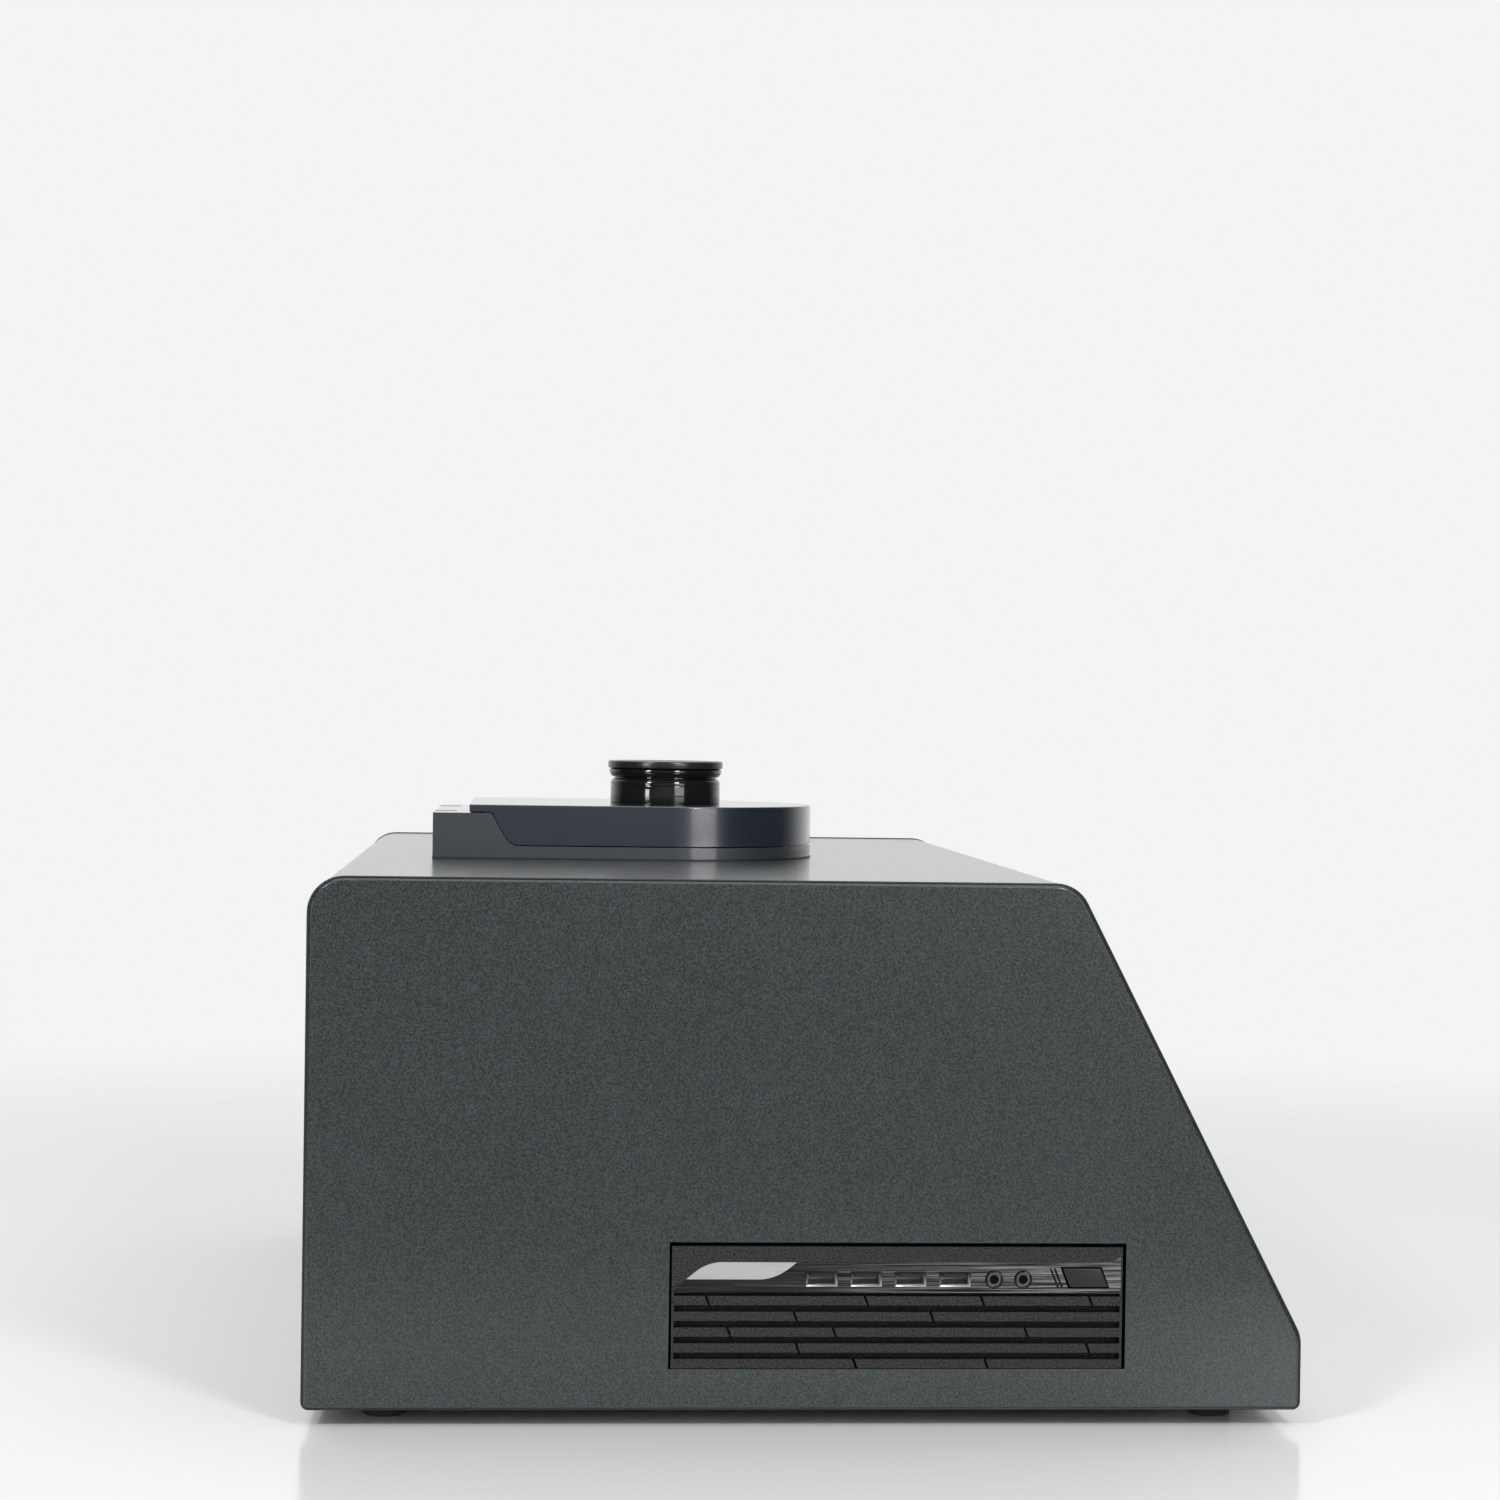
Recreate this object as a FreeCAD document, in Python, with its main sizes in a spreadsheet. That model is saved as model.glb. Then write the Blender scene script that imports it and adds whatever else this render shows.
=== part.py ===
"""Bench near-infrared grain analyzer, in millimetres.

A wedge case of folded sheet stands on four feet, with its sloped display face
toward +X. The sample stage is on top: a milled block with a geared turntable
and a hinged lid with an S-shaped joint line. A small computer sits behind a
window in the near side panel. The origin is under the middle of the case.
"""
import FreeCAD, Part, Sketcher
import math
import os
import re

SIZES = {
    # The case: outline of the side, sheet and feet
    "case_length": 450, "case_width": 550, "case_height": 237,
    "crest_from_front": 105, "nose_height": 33,
    "sheet": 2, "corner_radius": 16, "bottom_radius": 3, "edge_radius": 1.5,
    "foot_height": 8, "foot_radius": 9.75, "foot_from_end": 35, "foot_from_side": 32,
    "foot_bore_depth": 6, "foot_screw_gap": 1,
    "flange_width": 52, "panel_lip": 12, "lip_sheet": 1.5, "seat_gap": 0.2,
    "base_sheet": 2, "base_edge_gap": 1, "vent_length": 90, "vent_width": 6, "vent_pitch": 18,
    "screw_radius": 2, "screw_hole_gap": 0.1, "head_radius": 4, "head_height": 2.8,
    # The display in the slope
    "glass_length": 189, "glass_width": 295, "glass_thickness": 3, "glass_sink": 0.3,
    "glass_gap": 0.5, "frame_margin": 10, "frame_depth": 3, "lcd_margin": 8, "lcd_depth": 9,
    # The sample stage: block, tray and lid
    "stage_x": -55.4, "stage_radius": 77.7, "stage_back": 120.8, "tray_height": 6.7,
    "block_height": 23.4, "lid_height": 27.6, "tongue_back": 102.4, "tongue_gap": 0.5,
    "joint_gap": 0.45, "joint_top": 91.3, "joint_run": 9.4,
    "joint_crown_radius": 2, "joint_root_radius": 8.4, "lid_chamfer": 0.5,
    "cavity_radius": 56, "seal_radius": 62, "seal_cord": 1.5, "seal_gap": 0.3,
    "seal_side_gap": 0.1,
    "boss_radius": 47.5, "boss_depth": 11, "boss_gap": 0.5, "boss_bore": 44,
    # The lid's hinge
    "hinge_back": 109.5, "hinge_drop": 6.2, "pin_radius": 2.5, "pin_gap": 0.05,
    "lug_side": 45, "lug_width": 9.4, "lug_gap": 0.3, "lug_radius": 5, "lug_reach": 14,
    "pin_overhang": 6, "pin_end_gap": 0.5, "lug_sweep_gap": 0.5, "lug_root": 2,
    # The knob on the lid
    "knob_radius": 29.2, "knob_height": 22.5, "knob_skirt": 9.2, "knob_groove": 0.6,
    "knob_neck": 27.7, "knob_neck_height": 14, "knob_bead": 28.9, "knob_bead_height": 15.1,
    "knob_screw_gap": 1,
    "cap_height": 4.1, "cap_radius": 30.5, "cap_groove": 28.3, "cap_chamfer": 0.8,
    "knob_screw_radius": 3, "knob_screw_length": 14, "knob_head_radius": 5.5,
    "knob_head_height": 3,
    # The turntable, its bush and its gears
    "platform_radius": 51.5, "platform_gap": 0.5, "platform_top": 5.9, "platform_height": 3.2,
    "platform_clearance": 0.4, "hub_radius": 40, "hub_bore": 36, "hub_gap": 0.08,
    "bush_flange": 47, "bush_flange_height": 1.4,
    "gear_module": 1.5, "ring_teeth": 66, "pinion_teeth": 14, "gear_height": 6,
    "gear_drop": 19, "backlash": 0.18, "pinion_extra": 1,
    # The sample cup
    "cup_radius": 46, "cup_bore": 42, "cup_ledge": 39, "cup_ledge_height": 1.5,
    "cup_height": 14.6, "cup_gap": 0.2, "window_thickness": 3, "window_gap": 0.1,
    # The drive under the stage
    "drive_plate_drop": 27, "drive_plate_sheet": 3, "drive_plate_side": 48,
    "light_hole": 34, "post_ring": 58, "post_radius": 4.6, "post_bore_depth": 4.6,
    "post_screw_reach": 4, "motor_margin": 4,
    "motor_side": 42.3, "motor_height": 40, "motor_chamfer": 4, "motor_pilot": 11,
    "motor_pilot_height": 2, "shaft_radius": 2.5, "shaft_gap": 0.05, "shaft_depth": 20,
    "shaft_end_gap": 0.3,
    # The optics
    "bench_height": 102, "bench_sheet": 6, "bench_rear_length": 115,
    "bench_front_length": 165, "bench_gap": 10.6,
    "bench_post_radius": 6, "bench_post_inset": 12,
    "head_side": 60, "head_top": 76, "head_tube": 30, "head_tube_drop": 6, "lens_radius": 27,
    "lens_thickness": 3, "lens_rim": 3, "coupling_wall": 3, "coupling_radius": 9, "coupling_height": 30,
    "spectrometer_gap": 38, "spectrometer_length": 92, "spectrometer_width": 130,
    "spectrometer_height": 52, "spectrometer_wall": 3, "spectrometer_lid": 3,
    "lamp_block": 34, "lamp_bore": 8, "lamp_radius": 6, "lamp_length": 22, "lamp_pin": 2,
    "lamp_pin_length": 9, "lamp_floor": 5, "lamp_gap": 1, "lamp_pin_gap": 0.1,
    # The small computer behind its bezel
    "pc_front_gap": 82, "pc_bottom": 26.4, "pc_width": 204, "pc_height": 54.8, "pc_depth": 190,
    "pc_sink": 0.4, "pc_wall": 1.6, "bezel_depth": 8,
    "gap_rear": 1.1, "gap_front": 1.5, "gap_top": 1.8, "gap_bottom": 0.3,
    "slat_pitch": 7.09, "slat_gap": 2.97, "slat_depth": 3.5, "slat_cut": 1.1, "slat_lean": 20,
    "slat_margin": 1.1, "trim_bottom": 34.1, "trim_top": 47.7, "trim_thickness": 1.5,
    "port_height": 40.2, "usb_first_share": 0.3304, "usb_pitch_share": 0.0985,
    "usb_width": 13.1, "usb_height": 5.7,
    "usb_wall": 0.4, "usb_depth": 14, "usb_gap": 0.6, "usb_tongue": 1.8,
    "jack_first_share": 0.7132, "jack_pitch_share": 0.0647, "jack_radius": 4,
    "jack_bore": 1.8, "jack_depth": 12, "jack_gap": 0.1,
    "led_left_share": 0.8431, "led_width": 4.6, "led_gap": 0.1, "face_lean_width": 3.75,
    "button_left_share": 0.8804, "button_width": 18.2, "button_bottom": 36.4, "button_top": 45.6,
    "button_gap": 0.35, "button_depth": 5, "button_proud": 0.3, "badge_thickness": 0.3,
    "tray_sheet": 1.5, "tray_foot": 12, "tray_gap": 2, "board_sheet": 1.6, "board_lift": 8,
    "board_foot": 8,
    # Power, cooling and electronics
    "supply_length": 110, "supply_width": 98, "supply_height": 42, "supply_rear_gap": 30,
    "supply_side_gap": 59, "control_front_gap": 95, "control_side_gap": 40,
    "control_gap": 15, "control_length": 170,
    "control_width": 110, "control_lift": 8, "standoff_radius": 3, "standoff_inset": 6,
    "fan_side": 80, "fan_depth": 25, "fan_bore": 38, "fan_hub": 18, "fan_side_gap": 85,
    "fan_z": 150, "fan_blades": 7, "fan_strut": 6, "fan_gap": 0.8, "fan_web": 3,
    "fan_front_gap": 2, "blade_root": 3,
    "fan_slot": 4, "fan_slot_pitch": 9, "fan_slot_length": 70, "fan_slots": 8,
    "blade_sheet": 1.6, "blade_chord": 17, "blade_pitch": 38,
    "io_side_gap": 155, "io_z": 60, "io_width": 72, "io_height": 34, "io_depth": 8,
    "inlet_offset": -15, "inlet_width": 27, "inlet_height": 20, "inlet_depth": 18,
    "inlet_wall": 1.6, "inlet_flange": 3, "inlet_flange_sheet": 2, "inlet_pin_width": 4,
    "inlet_pin_sheet": 2, "inlet_pin_length": 14, "inlet_pin_side": 7, "inlet_pin_rise": 4,
    "switch_offset": 20, "switch_width": 13, "switch_height": 19, "switch_wall": 1.5,
    "switch_depth": 14, "rocker_tilt": 8, "rocker_gap": 0.4, "rocker_proud": 1.5,
    "rocker_pin": 1.5, "rocker_pin_gap": 0.05, "rocker_depth": 3, "rocker_back": 4,
    "rocker_dip": 2, "rocker_edge": 0.2, "rocker_edge_depth": 1.5, "pin_seat_depth": 1.2,
}

doc = FreeCAD.newDocument("grain_analyzer")
sheet = doc.addObject("Spreadsheet::Sheet", "Sizes")
for row, (alias, number) in enumerate(SIZES.items(), start=1):
    sheet.set(f"A{row}", alias)
    sheet.set(f"B{row}", str(number))
    sheet.setAlias(f"B{row}", alias)
doc.recompute()

V = FreeCAD.Vector
TURNS = {
    "x": FreeCAD.Rotation(V(0, 1, 0), 90),
    "y": FreeCAD.Rotation(V(1, 0, 0), -90),
    "z": FreeCAD.Rotation(),
}
pieces = []


def formula(text):
    """A sum written in plain names, with each name pointed at its cell."""
    def cell(word):
        return f"Sizes.{word[0]}" if word[0] in SIZES else word[0]
    return re.sub(r"[a-z][a-z_]*", cell, str(text))


def value(text):
    """What a sum comes to now."""
    return float(getattr(sheet.evalExpression(formula(text)), "Value",
                         sheet.evalExpression(formula(text))))


def bind(thing, **sums):
    """Tie properties of an object to sums of the sizes."""
    for name, text in sums.items():
        thing.setExpression(name, formula(text))
    return thing


def place(thing, x, y, z):
    """Tie an object's origin to a point."""
    for axis, text in zip("xyz", (x, y, z)):
        thing.setExpression(f"Placement.Base.{axis}", formula(text))
    return thing


def block(name, x, y, z, length, width, height):
    """A box from its lowest corner."""
    thing = doc.addObject("Part::Box", name)
    bind(thing, Length=length, Width=width, Height=height)
    return place(thing, x, y, z)


def rod(name, along, x, y, z, radius, length):
    """A cylinder from the middle of its first end, along an axis."""
    thing = doc.addObject("Part::Cylinder", name)
    thing.Placement = FreeCAD.Placement(V(), TURNS[along])
    bind(thing, Radius=radius, Height=length)
    return place(thing, x, y, z)


def hexagon(name, x, y, z, radius, length):
    """An upright six-sided rod from the middle of its lower end."""
    thing = doc.addObject("Part::Prism", name)
    thing.Polygon = 6
    bind(thing, Circumradius=radius, Height=length)
    return place(thing, x, y, z)


def join(name, *things):
    """Several solids made one."""
    thing = doc.addObject("Part::MultiFuse", name)
    thing.Shapes = list(things)
    return thing


def cut(name, base, *tools):
    """A solid with others taken out of it."""
    thing = doc.addObject("Part::Cut", name)
    thing.Base = base
    thing.Tool = tools[0] if len(tools) == 1 else join(f"{name}_tools", *tools)
    return thing


def common(name, *things):
    """What two solids share."""
    thing = doc.addObject("Part::MultiCommon", name)
    thing.Shapes = list(things)
    return thing


def group(name, *things):
    """Like solids that share one node."""
    thing = doc.addObject("Part::Compound", name)
    thing.Links = list(things)
    return thing


def piece(name, thing):
    """A finished sub-part, under the name that its file gets."""
    thing.Label = name
    pieces.append(thing)
    return thing


def body(name, base=None):
    """An empty body, or one that starts from a solid."""
    thing = doc.addObject("PartDesign::Body", name)
    if base:
        thing.BaseFeature = base
    return thing


def sketch(owner, role, name, offset=0):
    """A sketch on one of the body's own planes, moved along its normal."""
    plane = next(item for item in owner.Origin.OriginFeatures if item.Role == role)
    thing = owner.newObject("Sketcher::SketchObject", name)
    thing.AttachmentSupport = [(plane, "")]
    thing.MapMode = "FlatFace"
    thing.setExpression("AttachmentOffset.Base.z", formula(offset))
    return thing


def tie(owner, kind, index, point, text):
    """A sketch point's distance from the origin, tied to a sum."""
    number = owner.addConstraint(Sketcher.Constraint(kind, -1, 1, index, point, value(text)))
    owner.setExpression(f"Constraints[{number}]", formula(text))


def outline(owner, corners):
    """A closed outline of straight lines through the corners."""
    first = owner.GeometryCount
    points = [V(value(across), value(up), 0) for across, up in corners]
    count = len(points)
    for index, point in enumerate(points):
        owner.addGeometry(Part.LineSegment(point, points[(index + 1) % count]), False)
    for index in range(count):
        following = first + (index + 1) % count
        owner.addConstraint(Sketcher.Constraint("Coincident", first + index, 2, following, 1))
    for index, (across, up) in enumerate(corners):
        tie(owner, "DistanceX", first + index, 1, across)
        tie(owner, "DistanceY", first + index, 1, up)


def rectangle(owner, left, right, low, high):
    """A rectangle between four sums."""
    outline(owner, [(left, low), (right, low), (right, high), (left, high)])


def circle(owner, across, up, radius):
    """A circle about a point."""
    index = owner.addGeometry(Part.Circle(V(value(across), value(up), 0), V(0, 0, 1),
                                          value(radius)), False)
    tie(owner, "DistanceX", index, 3, across)
    tie(owner, "DistanceY", index, 3, up)
    number = owner.addConstraint(Sketcher.Constraint("Radius", index, value(radius)))
    owner.setExpression(f"Constraints[{number}]", formula(radius))


def pad(owner, profile, length, name, middle=False, back=False):
    """Material added along the sketch's normal."""
    thing = owner.newObject("PartDesign::Pad", name)
    thing.Profile = profile
    bind(thing, Length=length)
    thing.SideType = "Symmetric" if middle else "One side"
    thing.Reversed = back
    doc.recompute()
    return thing


def pocket(owner, profile, length, name, middle=False, forward=False):
    """Material taken away, against the sketch's normal unless forward."""
    before = owner.Shape.Volume
    thing = owner.newObject("PartDesign::Pocket", name)
    thing.Profile = profile
    bind(thing, Length=length)
    thing.SideType = "Symmetric" if middle else "One side"
    thing.Reversed = forward
    doc.recompute()
    if owner.Shape.Volume > before - 0.001:
        raise ValueError(f"{name} cuts nothing")
    return thing


def revolve(owner, profile, name):
    """A sketch turned about its upright axis."""
    thing = owner.newObject("PartDesign::Revolution", name)
    thing.Profile = profile
    thing.ReferenceAxis = (profile, ["V_Axis"])
    thing.Angle = 360
    doc.recompute()
    return thing


def edges(thing, test):
    """The names of the edges that pass a test."""
    return [f"Edge{number}" for number, edge in enumerate(thing.Shape.Edges, 1) if test(edge)]


def faces(thing, test):
    """The names of the faces that pass a test."""
    return [f"Face{number}" for number, face in enumerate(thing.Shape.Faces, 1) if test(face)]


def soften(owner, base, names, radius, name, kind="Fillet"):
    """A fillet or chamfer on named edges."""
    thing = owner.newObject(f"PartDesign::{kind}", name)
    thing.Base = (base, names)
    bind(thing, **{"Radius" if kind == "Fillet" else "Size": radius})
    doc.recompute()
    return thing


def runs_along(edge, axis):
    """Whether a straight edge lies along an axis."""
    if "Line" not in str(edge.Curve):
        return False
    direction = edge.tangentAt(edge.FirstParameter)
    return abs(abs(getattr(direction, axis)) - 1) < 0.001


def middle_of(edge):
    """The middle of an edge's box."""
    return edge.BoundBox.Center


# Places that many pieces share
top = "(foot_height + case_height)"
rear_inside = "(-case_length / 2 + sheet)"
side_inside = "(case_width / 2 - sheet)"
floor_top = "(foot_height + sheet + base_sheet)"
control_y = "(case_width / 2 - control_side_gap - control_width)"
fan_y = "(case_width / 2 - fan_side_gap)"
io_y = "(-case_width / 2 + io_side_gap)"
slope_run = "crest_from_front"
slope_drop = "(case_height - nose_height)"
slope_length = f"sqrt({slope_run} ^ 2 + {slope_drop} ^ 2)"
slope_cos = f"({slope_run} / {slope_length})"
slope_sin = f"({slope_drop} / {slope_length})"


def side_outline(inset):
    """The corners of the case's side, moved inward by an inset."""
    crest = f"(1 - {slope_cos}) / {slope_sin}"
    nose = f"(1 - {slope_sin}) / {slope_cos}"
    return [
        (f"-case_length / 2 + {inset}", f"foot_height + {inset}"),
        (f"-case_length / 2 + {inset}", f"{top} - {inset}"),
        (f"case_length / 2 - crest_from_front - {inset} * {crest}", f"{top} - {inset}"),
        (f"case_length / 2 - {inset}", f"foot_height + nose_height - {inset} * {nose}"),
        (f"case_length / 2 - {inset}", f"foot_height + {inset}"),
    ]


def round_outline(owner, base, inset, name):
    """The big and the small corners of the case's side, rounded."""
    low = value(f"foot_height + {inset}") + 0.01
    small = edges(base, lambda edge: runs_along(edge, "y") and middle_of(edge).z < low)
    lower = soften(owner, base, small, f"bottom_radius - {inset}", f"{name}_low")
    big = edges(lower, lambda edge: runs_along(edge, "y")
                and middle_of(edge).z > low + value("bottom_radius"))
    return soften(owner, lower, big, f"corner_radius - {inset}", f"{name}_high")


def slope_block(name, along, across, out, length, width, height):
    """A box on the slope: from the crest down, across, and out from the face."""
    thing = doc.addObject("Part::Box", name)
    thing.Placement = FreeCAD.Placement(V(), FreeCAD.Rotation(V(0, 1, 0), 60))
    bind(thing, Length=length, Width=width, Height=height)
    thing.setExpression("Placement.Rotation.Angle", formula(f"atan({slope_drop} / {slope_run})"))
    x = f"case_length / 2 - crest_from_front + ({along}) * {slope_cos} + ({out}) * {slope_sin}"
    z = f"{top} - ({along}) * {slope_sin} + ({out}) * {slope_cos}"
    return place(thing, x, across, z)


# The wrap: one folded sheet round the rear, top, slope, nose and floor flanges
foot_spots = [
    (f"{end} * (case_length / 2 - foot_from_end)", f"{side} * (case_width / 2 - foot_from_side)")
    for end in (-1, 1) for side in (-1, 1)
]
wrap = body("wrap")
profile = sketch(wrap, "XZ_Plane", "wrap_outline")
outline(profile, side_outline("0"))
wrap_pad = pad(wrap, profile, "case_width - 2 * sheet", "wrap_pad", middle=True)
wrap_round = round_outline(wrap, wrap_pad, "0", "wrap_round")
wrap_shell = wrap.newObject("PartDesign::Thickness", "wrap_shell")
wrap_shell.Base = (wrap_round, faces(wrap_round, lambda face: abs(face.normalAt(0, 0).y) > 0.99))
bind(wrap_shell, Value="sheet")
wrap_shell.Reversed = True
doc.recompute()
profile = sketch(wrap, "XY_Plane", "floor_opening")
rectangle(profile, "-case_length / 2 + flange_width", "case_length / 2 - flange_width",
          "-case_width / 2 + flange_width", "case_width / 2 - flange_width")
pocket(wrap, profile, "foot_height + 3 * sheet", "floor_cut", forward=True)
profile = sketch(wrap, "XY_Plane", "foot_holes")
for spot_x, spot_y in foot_spots:
    circle(profile, spot_x, spot_y, "screw_radius + screw_hole_gap")
pocket(wrap, profile, "foot_height + 3 * sheet", "foot_hole_cut", forward=True)
profile = sketch(wrap, "XY_Plane", "stage_hole", top)
circle(profile, "stage_x", "0", "boss_radius + boss_gap")
stage_posts = [
    (f"stage_x + {along} * post_ring * sqrt(0.5)", f"{across} * post_ring * sqrt(0.5)")
    for along in (-1, 1) for across in (-1, 1)
]
for spot_x, spot_y in stage_posts:
    circle(profile, spot_x, spot_y, "screw_radius + screw_hole_gap")
pocket(wrap, profile, "2 * sheet", "stage_cut")
profile = sketch(wrap, "YZ_Plane", "rear_window", "-case_length / 2")
rectangle(profile, f"{io_y} - io_width / 2", f"{io_y} + io_width / 2",
          "io_z - io_height / 2", "io_z + io_height / 2")
pocket(wrap, profile, "2 * sheet", "rear_window_cut", forward=True)
profile = sketch(wrap, "YZ_Plane", "rear_slot", "-case_length / 2")
slot_left = f"({fan_y} - (fan_slots - 1) * fan_slot_pitch / 2 - fan_slot / 2)"
rectangle(profile, slot_left, f"{slot_left} + fan_slot",
          "fan_z - fan_slot_length / 2", "fan_z + fan_slot_length / 2")
slot_cut = pocket(wrap, profile, "2 * sheet", "rear_slot_cut", forward=True)
slot_row = wrap.newObject("PartDesign::LinearPattern", "rear_slots")
slot_row.Originals = [slot_cut]
slot_row.Direction = (profile, ["H_Axis"])
bind(slot_row, Length="(fan_slots - 1) * fan_slot_pitch", Occurrences="fan_slots")
wrap.Tip = slot_row
doc.recompute()
glass_start = f"({slope_length} / 2 - glass_length / 2)"
display_hole = slope_block(
    "display_hole", f"{glass_start} - glass_gap", "-glass_width / 2 - glass_gap", "-3 * sheet",
    "glass_length + 2 * glass_gap", "glass_width + 2 * glass_gap", "6 * sheet")
piece("case_wrap", cut("case_wrap", wrap, display_hole))


def side_panel(name, side):
    """A flat end panel with a folded lip that slides into the wrap."""
    plate = body(f"{name}_plate")
    inset = "(sheet + seat_gap)"
    start = "case_width / 2" if side < 0 else "-case_width / 2"
    lip_sketch = sketch(plate, "XZ_Plane", f"{name}_lip_outline", start)
    outline(lip_sketch, side_outline(inset))
    lip = pad(plate, lip_sketch, "sheet + panel_lip", f"{name}_lip", back=side < 0)
    low = value(f"foot_height + {inset}") + 0.01
    small = edges(lip, lambda edge: runs_along(edge, "y") and middle_of(edge).z < low)
    lower = soften(plate, lip, small, "bottom_radius", f"{name}_lip_low")
    big = edges(lower, lambda edge: runs_along(edge, "y")
                and middle_of(edge).z > low + value("bottom_radius"))
    higher = soften(plate, lower, big, f"corner_radius - {inset}", f"{name}_lip_high")
    shell = plate.newObject("PartDesign::Thickness", f"{name}_shell")
    shell.Base = (higher, faces(higher, lambda face: face.normalAt(0, 0).y * side < -0.99))
    bind(shell, Value="lip_sheet")
    shell.Reversed = True
    doc.recompute()
    skin = body(f"{name}_skin")
    skin_sketch = sketch(skin, "XZ_Plane", f"{name}_outline", start)
    outline(skin_sketch, side_outline("0"))
    flat = pad(skin, skin_sketch, "sheet", f"{name}_flat", back=side < 0)
    rounded = round_outline(skin, flat, "0", f"{name}_round")
    middle = value("case_width / 2 - sheet / 2")
    rim = edges(rounded, lambda edge: abs(middle_of(edge).y) > middle
                and not runs_along(edge, "y"))
    soften(skin, rounded, rim, "edge_radius", f"{name}_rim", "Chamfer")
    return join(f"{name}_whole", plate, skin)


# The side panels: the near one has the computer's window
pc_left = "(case_length / 2 - pc_front_gap - pc_width)"
near = side_panel("near", -1)
window = block("pc_window", f"{pc_left} - gap_rear", "-case_width / 2 - sheet",
               "pc_bottom - gap_bottom", "pc_width + gap_rear + gap_front",
               "4 * sheet", "pc_height + gap_bottom + gap_top")
piece("near_side_panel", cut("near_side_panel", near, window))
piece("far_side_panel", side_panel("far", 1))

# The floor: a plate inside the wrap's flanges, with two rows of vents
base_x = "(case_length / 2 - bottom_radius)"
base_y = "(case_width / 2 - sheet - panel_lip - base_edge_gap)"
floor_body = body("floor")
profile = sketch(floor_body, "XY_Plane", "floor_outline", "foot_height + sheet")
rectangle(profile, f"-{base_x}", base_x, f"-{base_y}", base_y)
for spot_x, spot_y in foot_spots:
    circle(profile, spot_x, spot_y, "screw_radius + screw_hole_gap")
pad(floor_body, profile, "base_sheet", "floor_pad")
profile = sketch(floor_body, "XY_Plane", "floor_vents", "foot_height + sheet")
for vent in range(5):
    vent_x = f"(-case_length / 4 + ({vent} - 2) * vent_pitch)"
    rectangle(profile, f"{vent_x} - vent_width / 2", f"{vent_x} + vent_width / 2",
              "-vent_length / 2", "vent_length / 2")
pocket(floor_body, profile, "2 * base_sheet", "floor_vent_cut", forward=True)
piece("base_plate", floor_body)

# The feet, each held by a screw that comes down through the floor
foot_names = ["foot_rear_near", "foot_rear_far", "foot_front_near", "foot_front_far"]
foot_screws = []
for name, (spot_x, spot_y) in zip(foot_names, foot_spots):
    foot = body(f"{name}_body")
    profile = sketch(foot, "XZ_Plane", f"{name}_profile")
    outline(profile, [
        ("0", "0"),
        ("foot_radius", "0"),
        ("foot_radius", "foot_height"),
        ("screw_radius + screw_hole_gap", "foot_height"),
        ("screw_radius + screw_hole_gap", "foot_height - foot_bore_depth"),
        ("0", "foot_height - foot_bore_depth"),
    ])
    revolve(foot, profile, f"{name}_turn")
    place(foot, spot_x, spot_y, 0)
    piece(name, foot)
    head = hexagon(f"{name}_head", spot_x, spot_y, floor_top, "head_radius", "head_height")
    shank = rod(f"{name}_shank", "z", spot_x, spot_y,
                "foot_height - foot_bore_depth + foot_screw_gap", "screw_radius",
                f"{floor_top} - foot_height + foot_bore_depth - foot_screw_gap")
    foot_screws.append(join(f"{name}_screw", head, shank))
piece("foot_screws", group("foot_screws", *foot_screws))

# The display: touch glass in the slope, its frame and the panel behind it
piece("touch_glass", slope_block(
    "touch_glass", glass_start, "-glass_width / 2", "-glass_sink - glass_thickness",
    "glass_length", "glass_width", "glass_thickness"))
seat_depth = "(glass_sink + glass_thickness)"
frame_blank = slope_block(
    "frame_blank", f"{glass_start} - frame_margin", "-glass_width / 2 - frame_margin",
    f"-{seat_depth} - frame_depth", "glass_length + 2 * frame_margin",
    "glass_width + 2 * frame_margin", f"{seat_depth} + frame_depth - sheet")
frame_seat = slope_block(
    "frame_seat", f"{glass_start} - glass_gap", "-glass_width / 2 - glass_gap",
    f"-{seat_depth}", "glass_length + 2 * glass_gap", "glass_width + 2 * glass_gap",
    "glass_thickness")
frame_hole = slope_block(
    "frame_hole", f"{glass_start} + lcd_margin", "-glass_width / 2 + lcd_margin",
    f"-{seat_depth} - 2 * frame_depth", "glass_length - 2 * lcd_margin",
    "glass_width - 2 * lcd_margin", f"{seat_depth} + 2 * frame_depth")
piece("display_frame", cut("display_frame", frame_blank, frame_seat, frame_hole))
lcd_back = slope_block(
    "lcd_back", glass_start, "-glass_width / 2",
    f"-{seat_depth} - frame_depth - lcd_depth", "glass_length", "glass_width", "lcd_depth")
lcd_face = slope_block(
    "lcd_face", f"{glass_start} + lcd_margin + glass_gap",
    "-glass_width / 2 + lcd_margin + glass_gap", f"-{seat_depth} - frame_depth",
    "glass_length - 2 * lcd_margin - 2 * glass_gap",
    "glass_width - 2 * lcd_margin - 2 * glass_gap", "frame_depth - glass_sink")
piece("lcd_module", join("lcd_module", lcd_back, lcd_face))


def stage_plan(name, back, low, high):
    """The stage's plan, straight behind and round in front, between two levels."""
    square = block(f"{name}_square", f"stage_x - {back}", "-stage_radius", low,
                   back, "2 * stage_radius", f"{high} - {low}")
    disc = rod(f"{name}_disc", "z", "stage_x", "0", low, "stage_radius", f"{high} - {low}")
    return join(f"{name}_plan", square, disc)


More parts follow.
